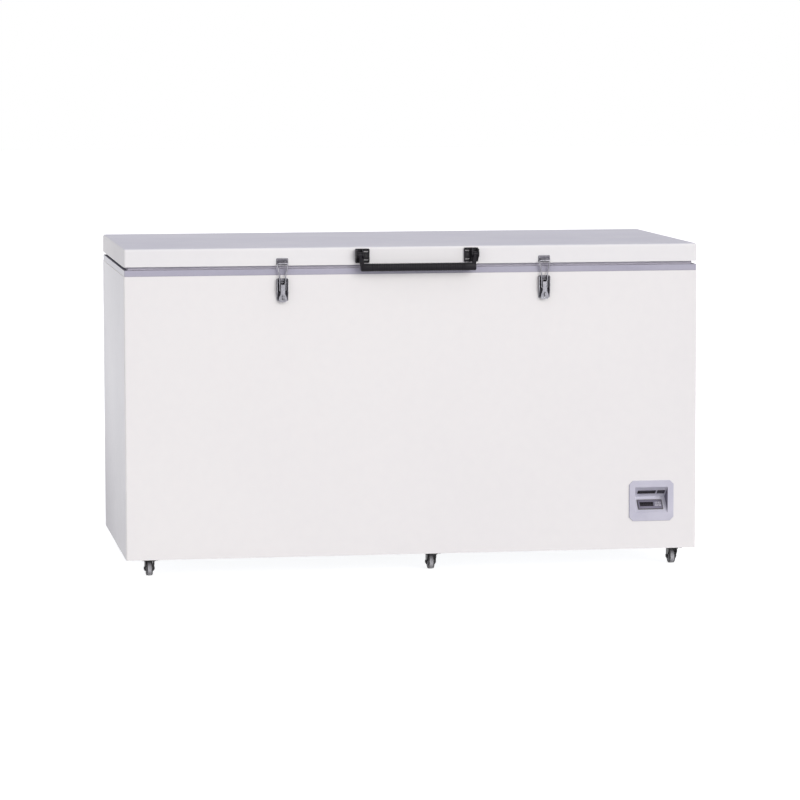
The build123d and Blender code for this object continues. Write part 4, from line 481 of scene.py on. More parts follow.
finish("liner_steel", "tank_steel", (222, 224, 227), (208, 211, 215), 0.42, drift=3,
       metallic=0.4, second_grain=300, stretch=(0.04, 0.04, 1), bump=0.2, top_dust_and_shade=0.0,
       corner_dust_and_shade=0.0, rough_spread=0.04)
finish("copper", "copper_tube", (196, 128, 96), (150, 88, 64), 0.32, drift=40, fine=200,
       metallic=1.0, bump=0.2, top_dust_and_shade=0.35)
finish("condenser_metal", "condenser_fins", (150, 152, 154), (118, 120, 123), 0.42, drift=35,
       metallic=1.0, bump=0.25, top_dust_and_shade=0.35, corner_dust_and_shade=0.5)
print("with bare metals:", len(finishes))

# %% [markdown]
# ### Rubber and foam
# The gasket and the compressor feet are soft rubber with almost no shine. The wheels are black
# rubber, with a tread that the floor has worn grey. Foam is only seen where the model is cut open.

# %% Rubber and foam
finish("gasket_rubber", "gasket_rubber", (232, 229, 238), (222, 219, 229), 0.62, drift=10,
       fine=120, grain=1200, bump=0.3, depth=0.0002, wear=0.1, top_dust_and_shade=0.1, corner_dust_and_shade=0.08,
       dust_and_shade_tone=(120, 116, 128))
finish("machine_rubber", "mount_rubber", (30, 30, 31), (24, 24, 25), 0.7, drift=30, bump=0.4,
       depth=0.0003, top_dust_and_shade=0.6)
finish("wheel_rubber", "wheel_rubber", (52, 51, 54), (38, 37, 40), 0.55, drift=60, fine=400,
       grain=1800, bump=0.4, depth=0.0002, wear_width=0.001, wear=0.4, worn_tone=(110, 109, 112))
finish("worn_tread", "worn_tread", (196, 195, 198), (148, 147, 151), 0.5, drift=70, fine=500,
       grain=1800, bump=0.4, depth=0.0002, top_dust_and_shade=0.1, corner_dust_and_shade=0.15, dust_and_shade_tone=(40, 39, 42))
finish("foam", "poured_foam", (226, 206, 150), (208, 186, 128), 0.85, drift=18, fine=300,
       second_grain=350, bump=0.6, depth=0.0006, wear=0.0, top_dust_and_shade=0.0, specular=0.2)
print("finishes in all:", len(finishes))

# %% [markdown]
# ## Giving every CAD node its finish
# The record that comes with the frame says which material slot each node belongs to. Reading it
# keeps this step to a loop: each CAD object gets the finish of its slot, and three get one of their
# own. A Bevel modifier then rounds the sharp CAD edges by about a millimetre. It changes no size,
# yet it is what makes an edge catch the light as a folded sheet or a moulding does.

# %% Finishes and soft edges on the CAD nodes
SLOT_OF = {part["node"]: part["material_slot"] for part in frame["record"]["subparts"]}
EDGE_ROUNDING = {
    "white_paint": 0.9, "side_paint": 0.9, "lid_paint": 1.2, "panel_plastic": 1.2,
    "black_nylon": 1.4, "dark_plastic": 0.5, "key_plastic": 0.6, "stainless": 0.4,
    "hinge_steel": 0.7, "zinc": 0.4, "fork_black": 0.6, "wheel_rubber": 0.8,
    "collar_plastic": 0.8, "grille_plastic": 0.7, "liner_plastic": 2.0}
# The keepers' darker stainless is painted shade.
OWN_FINISH = {"caster_plates": "fork_black", "controller": "bezel_plastic",
              "latch_keepers": "dark_stainless"}
SHARP = math.radians(32)


def soften(piece, width):
    """Rounds sharp edges by a width in millimetres, without moving the faces between them."""
    rounding = piece.modifiers.new("soft_edges", "BEVEL")
    rounding.width = width * MM
    rounding.segments = 2
    rounding.limit_method = "ANGLE"
    rounding.angle_limit = SHARP
    rounding.use_clamp_overlap = True
    rounding.harden_normals = True


for node, piece in frame["nodes"].items():
    slot = SLOT_OF[node]
    piece.data.materials.clear()
    piece.data.materials.append(finishes[OWN_FINISH.get(node, slot)])
    if slot in EDGE_ROUNDING:
        soften(piece, EDGE_ROUNDING[slot])
print("dressed", len(frame["nodes"]), "nodes in", len(set(SLOT_OF.values())), "slots")

# %% [markdown]
# ## Tools for small pieces
# Nearly every small piece on the freezer is one of two forms. A **skin** joins rows of points with
# four-sided faces: carried round a rectangle it makes a gasket, and along a line it makes a grip. A
# **turned** piece spins one closed profile round an axis, as a lathe does: wheels, rivets and screw
# heads. Both are plain bmesh code, so every size can be read in the script.

# %% Skin and lathe
def skin(shape, rows, round_trip=False):
    """Joins rows of points with faces. round_trip joins the last row to the first one; without
    it, both ends are capped."""
    rows = [[shape.verts.new(point) for point in row] for row in rows]
    following = rows[1:] + ([rows[0]] if round_trip else [])
    for one, two in zip(rows, following):
        for i in range(len(one)):
            j = (i + 1) % len(one)
            shape.faces.new((one[i], one[j], two[j], two[i]))
    if not round_trip:
        shape.faces.new(rows[0][::-1])
        shape.faces.new(rows[-1])


def sideways(axis):
    """Two directions at right angles to axis. The second leans up, or to +Y if axis is upright."""
    axis = Vector(axis).normalized()
    up = Vector((0, 1, 0)) if abs(axis.z) > 0.9 else Vector((0, 0, 1))
    side = up.cross(axis).normalized()
    return side, axis.cross(side)


def both_sides(middle, reach):
    """The two values that lie reach below and above a middle."""
    return middle - reach, middle + reach


def circle(radius, sides, first=0.0):
    """Corners of a regular outline. first is the angle of the first corner, in degrees."""
    angles = [math.radians(360 / sides * k + first) for k in range(sides)]
    return [(radius * math.cos(angle), radius * math.sin(angle)) for angle in angles]


def turned(shape, profile, centre, axis, steps):
    """Spins a closed profile of (distance along axis, radius) in millimetres round an axis."""
    side, up = sideways(axis)
    axis = Vector(axis).normalized()
    rows = []
    for step in range(steps):
        angle = 2 * math.pi * step / steps
        out = side * math.cos(angle) + up * math.sin(angle)
        rows.append([Vector(centre) + (axis * along + out * radius) * MM
                     for along, radius in profile])
    skin(shape, rows, round_trip=True)


def prism(shape, outline, centre, axis, low, high):
    """Stands a flat outline, in millimetres, on end between two distances along an axis."""
    side, up = sideways(axis)
    axis = Vector(axis).normalized()
    skin(shape, [[Vector(centre) + (side * x + up * y + axis * z) * MM for x, y in outline]
                 for z in (low, high)])


print("24 lathe steps on a 10 mm screw head leave facets of", round(math.pi * 10 / 24, 2), "mm")

# %% [markdown]
# A finished bmesh still has to become an object with a finish, a soft edge and a body to ride on.
# One function does all of that, so that no piece can be left behind when the lid opens. Marking
# edges sharper than 32 degrees keeps flat faces flat while round ones shade smoothly.

# %% From bmesh to a finished piece
def make_piece(name, shape, slot, body=None, rounding=0.0, look=None):
    """Turns a bmesh into an object with a finish. With a body, the piece also rides on it."""
    bmesh.ops.remove_doubles(shape, verts=shape.verts, dist=1e-7)
    bmesh.ops.recalc_face_normals(shape, faces=shape.faces)
    mesh = bpy.data.meshes.new(name)
    shape.to_mesh(mesh)
    shape.free()
    return dress_piece(add_object(name, mesh), slot, body, rounding, look)


def dress_piece(piece, slot, body=None, rounding=0.0, look=None):
    """Gives a piece its slot's finish, or the one in look, and soft edges. It rides on body."""
    piece.data.materials.clear()
    piece.data.materials.append(finishes[look or slot])
    piece.data.shade_smooth()
    piece.data.set_sharp_from_angle(angle=SHARP)
    if rounding:
        soften(piece, rounding)
    if body:
        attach(piece, body)
    return piece


def carve(piece, cutter):
    """Cuts cutter out of piece, keeps the result as piece's mesh and removes cutter."""
    cut = piece.modifiers.new("carve", "BOOLEAN")
    cut.operation = "DIFFERENCE"
    cut.solver = "EXACT"
    cut.object = cutter
    bpy.context.view_layer.update()
    whole = piece.data
    depsgraph = bpy.context.evaluated_depsgraph_get()
    piece.data = bpy.data.meshes.new_from_object(piece.evaluated_get(depsgraph))
    piece.modifiers.clear()
    bpy.data.objects.remove(cutter)
    bpy.data.meshes.remove(whole)


print("edges count as sharp from", round(math.degrees(SHARP)), "degrees")

# %% [markdown]
# ## Screws
# Most screws on the freezer are pan heads with a cross recess; on the handle's brackets and the
# side grille they are countersunk. A recess painted with a dark texture would look flat from the
# side, so the cross is cut out of the turned head with a Boolean. All heads of a group are cut at
# once, because each Boolean costs about the same however many screws it holds.

# %% Screw heads with a cross recess
def cross_outline(reach, half):
    """The twelve corners of a plus sign."""
    corners = [(half, half), (half, reach), (-half, reach), (-half, half), (-reach, half),
               (-reach, -half), (-half, -half), (-half, -reach), (half, -reach), (half, -half),
               (reach, -half), (reach, half)]
    return corners[::-1]


def screws(name, places, axis, radius, height, slot, body, flat=False):
    """Pan-head screws that stand on a face, or flat countersunk ones, each with a cross recess."""
    if flat:
        profile = [(-height, 0), (-height, 0.5 * radius), (0, radius), (0.1, 0.9 * radius),
                   (0.1, 0)]
        recess_floor = -0.7 * height
    else:
        profile = [(0, 0), (0, radius), (0.4 * height, 0.98 * radius),
                   (0.75 * height, 0.82 * radius), (0.95 * height, 0.5 * radius), (height, 0)]
        recess_floor = 0.4 * height
    cross = cross_outline(0.55 * radius, 0.13 * radius)
    heads, crosses = bmesh.new(), bmesh.new()
    for place in places:
        turned(heads, profile, place, axis, steps=24)
        prism(crosses, cross, place, axis, recess_floor, height + 1)
    piece = make_piece(name, heads, slot)
    carve(piece, make_piece(name + "_cutter", crosses, slot))
    return dress_piece(piece, slot, body)


HINGES, HINGE_SCREW_X, HINGE_SCREW_RADIUS = (-0.6, 0.0, 0.6), 0.030, 5.0
screw_low, screw_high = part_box("hinge_screws")
screw_z = (screw_low.z + HINGE_SCREW_RADIUS * MM, screw_high.z - HINGE_SCREW_RADIUS * MM)
hinge_places = [(x, screw_low.y, z) for hinge in HINGES for x in both_sides(hinge, HINGE_SCREW_X)
                for z in screw_z]
hinge_heads = screws("hinge_screw_heads", hinge_places, (0, 1, 0), HINGE_SCREW_RADIUS, 2.6, "zinc",
                     "cabinet")
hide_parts("hinge_screws")
print(len(hinge_places), "hinge screws, node from", [round(v, 4) for v in screw_low], "to",
      [round(v, 4) for v in screw_high])

# %% [markdown]
# The other screws of the case stand on the faces of the CAD nodes that they hold. Those faces come
# from the frame's boxes, so that a screw never floats off its sheet. The side grille is the
# outermost face of the whole freezer, so its screws sink into it by a tenth of a millimetre.

# %% Screws on the grilles, the inlet and the rear sheet
GRILLE_REACH, SINK = 0.150, 0.1 * MM
GRILLE_Z = both_sides(0.252, GRILLE_REACH)
SIDE_GRILLE_Y, REAR_GRILLE_X = both_sides(-0.010, GRILLE_REACH), both_sides(0.62, 0.100)
INLET_SCREW_INSET = 0.004
SHEET_SCREW_X, SHEET_SCREW_LOW, SHEET_SCREW_STEP = both_sides(0.0, 0.884), 0.1, 0.2
grille_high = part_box("air_grilles")[1]
side_spots = [(grille_high.x - SINK, y, z) for y in SIDE_GRILLE_Y for z in GRILLE_Z]
screws("side_grille_screws", side_spots, (1, 0, 0), 4.0, 1.2, "grille_plastic", "cabinet",
       flat=True)
rear_spots = [(x, grille_high.y, z) for x in REAR_GRILLE_X for z in GRILLE_Z]
screws("rear_grille_screws", rear_spots, (0, 1, 0), 4.0, 2.0, "zinc", "cabinet")
inlet_low, inlet_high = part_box("power_inlet")
inlet_spots = [(x, inlet_high.y, (inlet_low.z + inlet_high.z) / 2)
               for x in (inlet_low.x + INLET_SCREW_INSET, inlet_high.x - INLET_SCREW_INSET)]
screws("inlet_screws", inlet_spots, (0, 1, 0), 2.6, 1.4, "zinc", "cabinet")
rear_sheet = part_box("rear_panel")[1].y
sheet_spots = [(x, rear_sheet, SHEET_SCREW_LOW + row * SHEET_SCREW_STEP)
               for x in SHEET_SCREW_X for row in range(5)]
screws("rear_sheet_screws", sheet_spots, (0, 1, 0), 4.0, 2.2, "zinc", "cabinet")
print("case screws:", len(side_spots) + len(rear_spots) + len(inlet_spots) + len(sheet_spots))

# %% [markdown]
# ## Gasket
# The lid seals on a rubber gasket with folded sides, so that it can give a little without being
# crushed. The CAD has only the space that it fills. Here the folded outline is carried round the
# rectangle and mitred, which is also how real gaskets are welded at their corners.

# %% Folded gasket in place of the plain one
CORNERS = ((1, 1), (-1, 1), (-1, -1), (1, -1))


def carried_round(shape, profile, half_x, half_y):
    """Carries a closed profile of (distance in from the edge, height) in mm round a rectangle."""
    skin(shape, [[Vector((sx * (half_x - inset * MM), sy * (half_y - inset * MM), height * MM))
                  for inset, height in profile] for sx, sy in CORNERS], round_trip=True)


GASKET_WIDTH, FOLD_DEPTH, FOLDS = 26.0, 3.0, 7
gasket_low, gasket_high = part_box("lid_gasket")
bottom, top = gasket_low.z / MM, gasket_high.z / MM
heights = [bottom + (top - bottom) * step / FOLDS for step in range(FOLDS + 1)]
outer_side = [(FOLD_DEPTH * (step % 2), height) for step, height in enumerate(heights)]
inner_side = [(GASKET_WIDTH - inset, height) for inset, height in reversed(outer_side)]
shape = bmesh.new()
carried_round(shape, outer_side + inner_side, gasket_high.x, gasket_high.y)
gasket = make_piece("gasket_folds", shape, "gasket_rubber", "lid", rounding=0.4)
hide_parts("lid_gasket")
print("gasket", round((gasket_high.x - gasket_low.x) / MM), "mm wide with", FOLDS, "faces a side")

# %% [markdown]
# ## Lift handle
# The handle is a nylon bar with a ribbed grip between two plain ends, and an arm at each end that
# turns on a pin. The ribs matter: they break the long highlight into a texture, which is how the
# bar reads in the photograph. Rows of a rounded outline are skinned along the bar, and a row that
# is drawn in by a fraction of a millimetre makes the bottom of a groove.

# %% Bar with a ribbed grip
def rounded_outline(width, height, radius, steps=5):
    """Points round a rectangle with round corners, in millimetres."""
    points = []
    for corner, (sx, sy) in enumerate(CORNERS):
        for step in range(steps + 1):
            angle = (corner + step / steps) * math.pi / 2
            points.append((sx * (width / 2 - radius) + radius * math.cos(angle),
                           sy * (height / 2 - radius) + radius * math.sin(angle)))
    return points


BAR_DEEP, BAR_TALL, BAR_ROUND, BAR_HALF = 26.0, 24.0, 8.0, 180.0
BAR_MIDDLE = Vector((0.009, -0.455, 0.9605))
PLAIN_END, RIB_PITCH, GROOVE_DEPTH = 32.0, 7.4, 0.8
END_STEPS = [(0.0, 3.0), (0.3, 1.6), (1.2, 0.5), (3.0, 0.0)]
GROOVE_STEPS = [(0.0, 0.0), (0.8, GROOVE_DEPTH), (2.2, GROOVE_DEPTH), (3.0, 0.0)]


def bar_row(along, drawn_in):
    """One outline across the bar, a distance along it from its middle."""
    outline = rounded_outline(BAR_DEEP - 2 * drawn_in, BAR_TALL - 2 * drawn_in,
                              BAR_ROUND - drawn_in / 2)
    return [BAR_MIDDLE + Vector((along, y, z)) * MM for y, z in outline]


ribs = int(2 * (BAR_HALF - PLAIN_END) / RIB_PITCH)
rows = [bar_row(-BAR_HALF + along, inset) for along, inset in END_STEPS]
for rib in range(ribs):
    groove = -ribs * RIB_PITCH / 2 + rib * RIB_PITCH
    rows += [bar_row(groove + along, inset) for along, inset in GROOVE_STEPS]
rows += [bar_row(BAR_HALF - along, inset) for along, inset in reversed(END_STEPS)]
shape = bmesh.new()
skin(shape, rows)
print(ribs, "grooves over", round(ribs * RIB_PITCH), "mm of the bar")

# %% [markdown]
# Each arm is a short loft from the hub to the end of the bar, wider at the bar, with its corners
# taken off. It starts outside the pin, so that nothing lies in the hub's bore.

# %% Arms and hubs, then the finished handle
def chamfered_outline(width, height, corner):
    """A rectangle with its four corners cut off, in millimetres."""
    x, y = width / 2, height / 2
    return [(x, y - corner), (x - corner, y), (-x + corner, y), (-x, y - corner),
            (-x, -y + corner), (-x + corner, -y), (x - corner, -y), (x, -y + corner)]


PIVOT_Y, PIVOT_Z, HUB_OFFSET = -0.438, 0.998, 181.0
ARM_WIDE, ARM_NARROW, ARM_THICK, ARM_CORNER = 13.0, 10.0, 13.0, 1.8
ARM_SHARES = (0.16, 0.4, 0.7, 1.0)
HUB_PROFILE = [(-7, 3.1), (-7, 8.2), (-6.2, 9), (6.2, 9), (7, 8.2), (7, 3.1)]
across = Vector((1, 0, 0))
over = across.cross(Vector((0, BAR_MIDDLE.y - PIVOT_Y, BAR_MIDDLE.z - PIVOT_Z)).normalized())
for side in (-1, 1):
    hub = Vector((BAR_MIDDLE.x + side * HUB_OFFSET * MM, PIVOT_Y, PIVOT_Z))
    foot = BAR_MIDDLE + across * side * (BAR_HALF - ARM_WIDE / 2) * MM
    arm_rows = []
    for share in ARM_SHARES:
        outline = chamfered_outline(ARM_NARROW + (ARM_WIDE - ARM_NARROW) * share, ARM_THICK,
                                    ARM_CORNER)
        arm_rows.append([hub.lerp(foot, share) + (across * a + over * b) * MM for a, b in outline])
    skin(shape, arm_rows)
    turned(shape, HUB_PROFILE, hub, across, steps=36)
handle = make_piece("handle_grip", shape, "black_nylon", "handle", rounding=0.5)
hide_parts("handle_bar")

BRACKET_SCREW_X, BRACKET_SCREW_Z, BRACKET_FACE = 0.160, 0.995, PIVOT_Y + 0.012
bracket_spots = [(x, BRACKET_FACE, BRACKET_SCREW_Z)
                 for x in both_sides(BAR_MIDDLE.x, BRACKET_SCREW_X)]
screws("bracket_screws", bracket_spots, (0, -1, 0), 4.0, 1.6, "fork_black", "lid", flat=True)
print("handle and", len(bracket_spots), "bracket screws")

# %% [markdown]
# ## Toggle latches
# A latch is pressed from stainless sheet and riveted together. What the eye takes for "a latch" at
# a distance is mostly its small parts: domed rivets, the upset ends of the pin, a pressed rib down
# the lever that stiffens it, and a few cross bars on the thumb tab for grip.

# %% Rivets and pin heads
LATCH_SPOTS = {"left": -0.411, "right": 0.411}
FRONT_FACE, LATCH_FACE = -0.420, -0.422
RIVET_X, RIVET_HEIGHTS = 0.0125, (0.9225, 0.8635)
PIN_X, PIN_OUT, PIN_Z = 0.018, 0.0055, 0.915
KEEPER_SCREW_X, KEEPER_SCREW_Z = 0.0148, 0.9838
DOME = [(0, 0), (0, 2.4), (0.5, 2.3), (1.0, 1.7), (1.3, 0.9), (1.4, 0)]
PIN_HEAD = [(0, 0), (0, 2.6), (0.5, 2.4), (0.8, 1.4), (0.9, 0)]
rivets, pin_heads = bmesh.new(), bmesh.new()
for x in LATCH_SPOTS.values():
    for side in (-1, 1):
        for z in RIVET_HEIGHTS:
            turned(rivets, DOME, (x + side * RIVET_X, LATCH_FACE, z), (0, -1, 0), steps=20)
        turned(pin_heads, PIN_HEAD, (x + side * PIN_X, FRONT_FACE - PIN_OUT, PIN_Z),
               (side, 0, 0), steps=20)
# Rivets and pin heads take the darker stainless, which paints shade on them.
make_piece("latch_rivets", rivets, "stainless", "cabinet", look="dark_stainless")
make_piece("latch_pin_heads", pin_heads, "stainless", "cabinet", look="dark_stainless")
keeper_spots = [(x, LATCH_FACE, KEEPER_SCREW_Z) for latch in LATCH_SPOTS.values()
                for x in both_sides(latch, KEEPER_SCREW_X)]
screws("keeper_screws", keeper_spots, (0, -1, 0), 2.5, 1.5, "stainless", "lid")
print(len(keeper_spots), "keeper screws")

# %% [markdown]
# The rib and the bars are pressed out of the lever's own sheet, so they start a little inside its
# face. They are made once for each latch, because each set rides on its own lever.

# %% Lever ribs
RIB_OUTLINE, RIB_Z = rounded_outline(5.4, 19.0, 2.5), 0.8955
TAB_OUTLINE, TAB_Z, TAB_STEP = rounded_outline(17.0, 1.3, 0.5, 2), 0.8575, 0.0028
INSIDE = -0.2
lever_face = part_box("latch_left_lever")[0].y
for word, x in LATCH_SPOTS.items():
    shape = bmesh.new()
    prism(shape, RIB_OUTLINE, (x, lever_face, RIB_Z), (0, -1, 0), INSIDE, 0.5)
    for row in range(3):
        prism(shape, TAB_OUTLINE, (x, lever_face, TAB_Z + row * TAB_STEP), (0, -1, 0), INSIDE, 0.45)
    make_piece(f"latch_{word}_rib", shape, "stainless", f"latch_{word}_lever", rounding=0.2)
print("lever face at", round(lever_face, 4))

# %% [markdown]
# ## Controller and keys
# The controller is off in the picture, so its window is black. A real one still shows the grey
# outlines of its unlit digits when light falls on it, and its keys carry plain marks. Both lie on
# the slanted lower face of the recess, so the helper below turns places on a slanted face into real
# ones.

# %% Unlit digits
def on_face(face, across, up, out):
    """A place on a slanted face, in mm from its middle. face is its middle, up and out."""
    middle, face_up, face_out = face
    return middle + (Vector((across, 0, 0)) + face_up * up + face_out * out) * MM


LOWER_UP, LOWER_OUT = Vector((0, 46, 45)).normalized(), Vector((0, -45, 46)).normalized()
LOWER_FACE = (Vector((0.757, -0.400, 0.1965)), LOWER_UP, LOWER_OUT)
WINDOW_TOP = 3.0
DIGIT_LEFT, DIGIT_PITCH, SLANT = -21.0, 8.6, 0.12
SEGMENT_LONG, SEGMENT_THIN, SEGMENT_STEP = 4.2, 1.0, 5.4
UPRIGHTS = [(0, 1), (1, 1), (0, -1), (1, -1)]
LEVELS = [(0.5, 2), (0.5, 0), (0.5, -2)]
shape = bmesh.new()
for digit in range(3):
    for column, row in UPRIGHTS + LEVELS:
        up = row * SEGMENT_STEP / 2
        x = DIGIT_LEFT + digit * DIGIT_PITCH + column * SEGMENT_STEP + up * SLANT
        size = (SEGMENT_THIN, SEGMENT_LONG) if row in (1, -1) else (SEGMENT_LONG, SEGMENT_THIN)
        prism(shape, chamfered_outline(*size, 0.4), on_face(LOWER_FACE, x, up, WINDOW_TOP),
              LOWER_OUT, -0.05, 0.03)
make_piece("unlit_digits", shape, "window_plastic", "cabinet", look="unlit_segments")
print("three digits of", len(UPRIGHTS + LEVELS), "segments")

# %% Key marks
KEY_TOP, KEYS_X, KEY_X, KEY_UP = 4.0, 25.6, 5.2, 4.8
ARROW = [(0, 1.7), (-1.7, -1.1), (1.7, -1.1)]
MARKS = {1: ARROW, 2: rounded_outline(2.6, 2.6, 1.25), 3: [(-x, -y) for x, y in ARROW],
         4: rounded_outline(3.4, 1.0, 0.45)}
for number, outline in MARKS.items():
    column, row = (-1, 1)[(number - 1) % 2], (1, -1)[(number - 1) // 2]
    middle = on_face(LOWER_FACE, KEYS_X + column * KEY_X, row * KEY_UP, KEY_TOP)
    shape = bmesh.new()
    prism(shape, outline, middle, LOWER_OUT, -0.1, 0.12)
    make_piece(f"key_{number}_mark", shape, "dark_plastic", f"key_{number}")
print(len(MARKS), "key marks")

# %% [markdown]
# The dark strip and the switch sit in low moulded rims on the upper face of the recess, and a
# rubber seal runs round the controller. Each is one sloped profile carried round a rectangle: at
# this size the slope is what catches the light, where a square edge would only show a line.

# %% Rims and seal
RIM_PROFILE = ((0, 0), (0, 0.6), (0.15, 1), (0.85, 1), (1, 0.7), (1, 0))


def rim(shape, face, inner, width, high):
    """A low rim round a rectangle on a slanted face, with its inner and outer edges sloped."""
    skin(shape, [[on_face(face, sx * (inner[0] / 2 + share * width[0]),
                          sy * (inner[1] / 2 + share * width[1]), rise * high)
                  for share, rise in RIM_PROFILE] for sx, sy in CORNERS], round_trip=True)


UPPER_UP, UPPER_OUT = Vector((0, -46, 36)).normalized(), Vector((0, -36, -46)).normalized()
STRIP_FACE = (Vector((0.7465, -0.400, 0.237)), UPPER_UP, UPPER_OUT)
SWITCH_FACE = (Vector((0.7925, -0.400, 0.237)), UPPER_UP, UPPER_OUT)
shape = bmesh.new()
rim(shape, STRIP_FACE, (56.0, 12.0), (1.2, 3.6), 1.1)
rim(shape, SWITCH_FACE, (23.1, 15.1), (0.8, 2.4), 0.9)
make_piece("strip_rims", shape, "dark_plastic", "cabinet", look="bezel_dark")
shape = bmesh.new()
rim(shape, LOWER_FACE, (77.1, 34.6), (2.0, 2.2), 2.2)
make_piece("controller_seal", shape, "machine_rubber", "cabinet")
print("two rims and a seal")

# %% [markdown]
# ## Casters
# A caster wheel is a rubber tyre bonded to a moulded hub, with its tread worn grey. Turning the
# three from separate outlines gives the step between tyre and hub and the two grooves beside the
# tread. All six wheels are the same, so they share their meshes: only the objects are moved. The
# nuts that hold the plates are six-sided prisms.

# %% Tyres, treads and hubs
TYRE = [(-10.0, 16.0), (-10.0, 20.0), (-9.3, 21.4), (-8.2, 22.3), (-7.2, 22.7), (-6.8, 21.8),
        (-6.0, 21.8), (-5.6, 22.3)]
TREAD = [(-5.6, 21.4), (-5.6, 22.6), (-4.8, 22.9), (-2.0, 23.0)]
HUB = [(-11.5, 3.1), (-11.5, 7.0), (-10.9, 7.8), (-8.2, 8.2), (-7.2, 9.6), (-7.2, 14.2),
       (-8.8, 15.2), (-9.4, 15.4), (-9.4, 16.2)]
FORMS = {"tyre": (TYRE, "wheel_rubber", "wheel_rubber"),
         "tread": (TREAD, "worn_tread", "wheel_rubber"),
         "hub": (HUB, "grille_plastic", "grille_plastic")}
meshes = {}
for word, (half, look, slot) in FORMS.items():
    shape = bmesh.new()
    whole = half + [(-along, radius) for along, radius in reversed(half)]
    turned(shape, whole, (0, 0, 0), (1, 0, 0), steps=56)
    first = make_piece("caster_" + word, shape, look)
    meshes[word] = first.data
    bpy.data.objects.remove(first)
wheels = sorted(name for name in frame["nodes"] if name.endswith("_wheel"))
middles = []
for wheel in wheels:
    wheel_low, wheel_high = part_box(wheel)
    middles.append((wheel_low + wheel_high) / 2)
    for word, mesh in meshes.items():
        piece = add_object(wheel.removesuffix("wheel") + word, mesh)
        piece.location = middles[-1]
        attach(piece, wheel)
        if word == "tyre":
            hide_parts(wheel)
print(len(wheels), "wheels at heights", {round(middle.z, 4) for middle in middles})

# %% Nuts under the plates
BOLT_REACH, FORK_TRAIL, PLATE_Z = 0.022, 0.018, 0.057
NUT, NUT_HIGH = circle(5.77, 6, 30), 4.6
THREAD_END = [(4.4, 0), (4.4, 2.9), (5.2, 2.4), (5.2, 0)]
nuts = bmesh.new()
for middle in middles:
    for x in both_sides(middle.x, BOLT_REACH):
        for y in both_sides(middle.y - FORK_TRAIL, BOLT_REACH):
            bolt = (x, y, PLATE_Z)
            prism(nuts, NUT, bolt, (0, 0, -1), 0, NUT_HIGH)
            turned(nuts, THREAD_END, bolt, (0, 0, -1), steps=14)
make_piece("caster_nuts", nuts, "zinc", "cabinet", rounding=0.4)
print(len(wheels) * 4, "nuts")

# %% [markdown]
# ## Machine bay and tank
# Two things are seen only through a grille or with the lid open. A compressor shell is drawn in two
# cups that are welded round the middle, and has a cover over its terminals. The tank's sheets are
# joined by a bead along each inside corner.

# %% Compressor seams
SHELL_X, SHELL_Y, SEAM_Z = 0.640, (-0.210, 0.110), 0.19
SEAM = [(-2.2, 80.0), (-2.2, 83.6), (2.2, 83.6), (2.2, 80.0)]
COVER, COVER_OFFSET, COVER_Z = rounded_outline(46.0, 40.0, 6.0, 3), 0.078, 0.150
shells_low, shells_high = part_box("compressors")
shape = bmesh.new()
for y in SHELL_Y:
    turned(shape, SEAM, (SHELL_X, y, SEAM_Z), (0, 0, 1), steps=64)
    prism(shape, COVER, (SHELL_X - COVER_OFFSET, y, COVER_Z), (-1, 0, 0), -6.0, 16.0)
make_piece("compressor_seams", shape, "machine_black", "cabinet", rounding=1.0)
print("shells from", round(shells_low.z, 3), "to", round(shells_high.z, 3), "m high")

# %% Beads in the tank's corners
LEFT, RIGHT, STEP_X, HALF_Y = -0.790, 0.790, 0.400, 0.310
FLOOR_Z, SHELF_Z, RIM_Z = 0.172, 0.570, 0.953
BEAD = circle(2.6, 8)
runs = []
for side in (-HALF_Y, HALF_Y):
    runs += [((x, side, low), (x, side, high)) for x, low, high in (
        (LEFT, FLOOR_Z, RIM_Z), (RIGHT, SHELF_Z, RIM_Z), (STEP_X, FLOOR_Z, SHELF_Z))]
    runs += [((x, side, z), (far, side, z)) for x, far, z in (
        (LEFT, STEP_X, FLOOR_Z), (STEP_X, RIGHT, SHELF_Z))]
runs += [((x, -HALF_Y, z), (x, HALF_Y, z)) for x, z in (
    (LEFT, FLOOR_Z), (STEP_X, FLOOR_Z), (RIGHT, SHELF_Z))]
shape = bmesh.new()
for start_point, end_point in runs:
    run = Vector(end_point) - Vector(start_point)
    prism(shape, BEAD, start_point, run, 0, run.length / MM)
make_piece("tank_beads", shape, "liner_steel", "cabinet")
print(len(runs), "beads in the tank")

# %% [markdown]
# ## Room and light
# The photograph has a plain white room. The floor is a real surface that takes the freezer's
# shadow, and it is lifted to white only for rays that come straight from the camera or through a
# mirror reflection. The sky is brighter at the sides than overhead and slightly blue above, as in a
# studio with tall panels: that, with the grey-blue shade painted on the lid's top, is why the lid's
# top reads greyer than the front. One wide sun from the front right gives the front its lift and
# leaves the left side in its own soft shade.

# %% Sky
def background_rays(tree):
    """One where a ray comes from the camera, a glossy bounce or a transmission."""
    path = add_node(tree, "LightPath", {}).outputs
    first = maths(tree, "MAXIMUM", path["Is Camera Ray"], path["Is Glossy Ray"])
    return maths(tree, "MAXIMUM", first, path["Is Transmission Ray"])


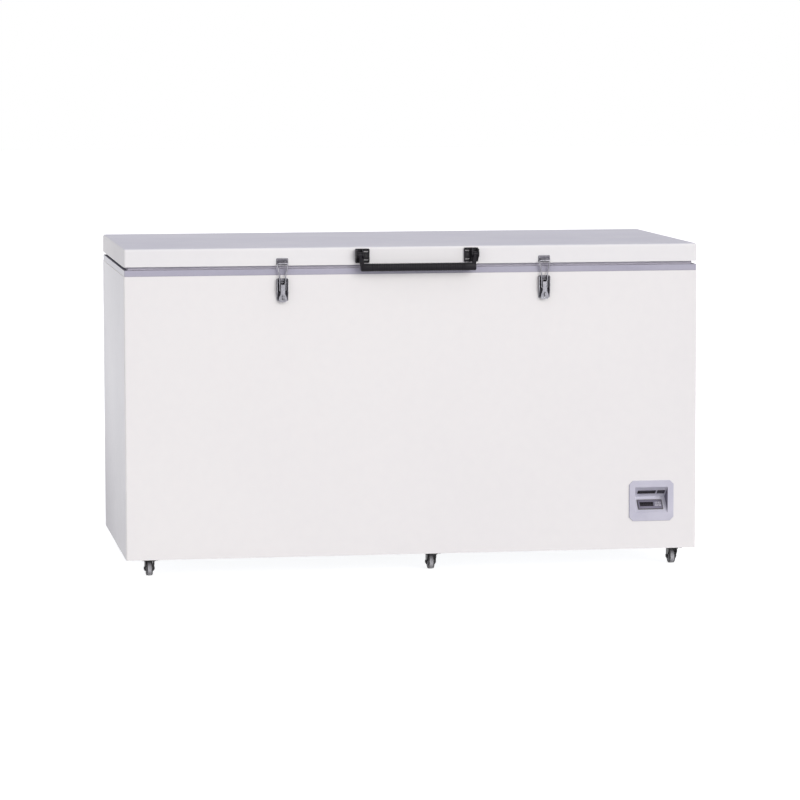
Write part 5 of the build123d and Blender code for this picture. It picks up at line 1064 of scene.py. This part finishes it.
HORIZON, OVERHEAD, WHITE = (1.02, 1.01, 1.02, 1), (0.47, 0.47, 0.52, 1), (1, 1, 1, 1)
world = bpy.data.worlds.new("studio")
bpy.context.scene.world = world
world.use_nodes = True
sky = world.node_tree
sky.nodes.clear()
direction = add_node(sky, "TexCoord", {}).outputs["Generated"]
rise = ramp(sky, part_of(sky, direction, "Z"), 0.0, 0.9)
room_light = add_node(sky, "Background", {"Color": mixed(sky, rise, HORIZON, OVERHEAD)})
plain_white = add_node(sky, "Background", {"Color": WHITE})
seen = add_node(sky, "MixShader", {
    0: background_rays(sky), 1: room_light.outputs[0], 2: plain_white.outputs[0]})
add_node(sky, "OutputWorld", {"Surface": seen.outputs[0]})
print("sky from", HORIZON[:3], "at the sides to", OVERHEAD[:3], "above")

# %% Floor
FLOOR_REACH, FLOOR_TONE, FLOOR_LIFT = 40.0, (0.55, 0.55, 0.56, 1), 0.82
floor_mesh = bpy.data.meshes.new("studio_floor")
floor_mesh.from_pydata([(x * FLOOR_REACH, y * FLOOR_REACH, 0)
                        for x, y in ((-1, -1), (1, -1), (1, 1), (-1, 1))], [], [(0, 1, 2, 3)])
floor = add_object("studio_floor", floor_mesh)
floor_paint = bpy.data.materials.new("studio_floor")
floor_paint.use_nodes = True
tree = floor_paint.node_tree
fill(tree, tree.nodes["Principled BSDF"], {
    "Base Color": FLOOR_TONE, "Roughness": 0.9, "Specular IOR Level": 0.0, "Emission Color": WHITE,
    "Emission Strength": maths(tree, "MULTIPLY", background_rays(tree), FLOOR_LIFT)})
floor_mesh.materials.append(floor_paint)
print("floor", round(2 * FLOOR_REACH), "m wide")

# %% Sun
sun_data = bpy.data.lights.new("front_sun", "SUN")
sun_data.energy = 1.30
sun_data.angle = math.radians(35)
sun_data.color = (1.0, 0.99, 0.985)
sun = add_object("front_sun", sun_data)
sun_from = Vector((0.42, -1.0, 0.34)).normalized()
sun.rotation_mode = "QUATERNION"
sun.rotation_quaternion = sun_from.to_track_quat("Z", "Y")
bpy.context.scene.view_settings.view_transform = "Standard"
print("sun stands", round(math.degrees(math.asin(sun_from.z)), 1), "degrees up")
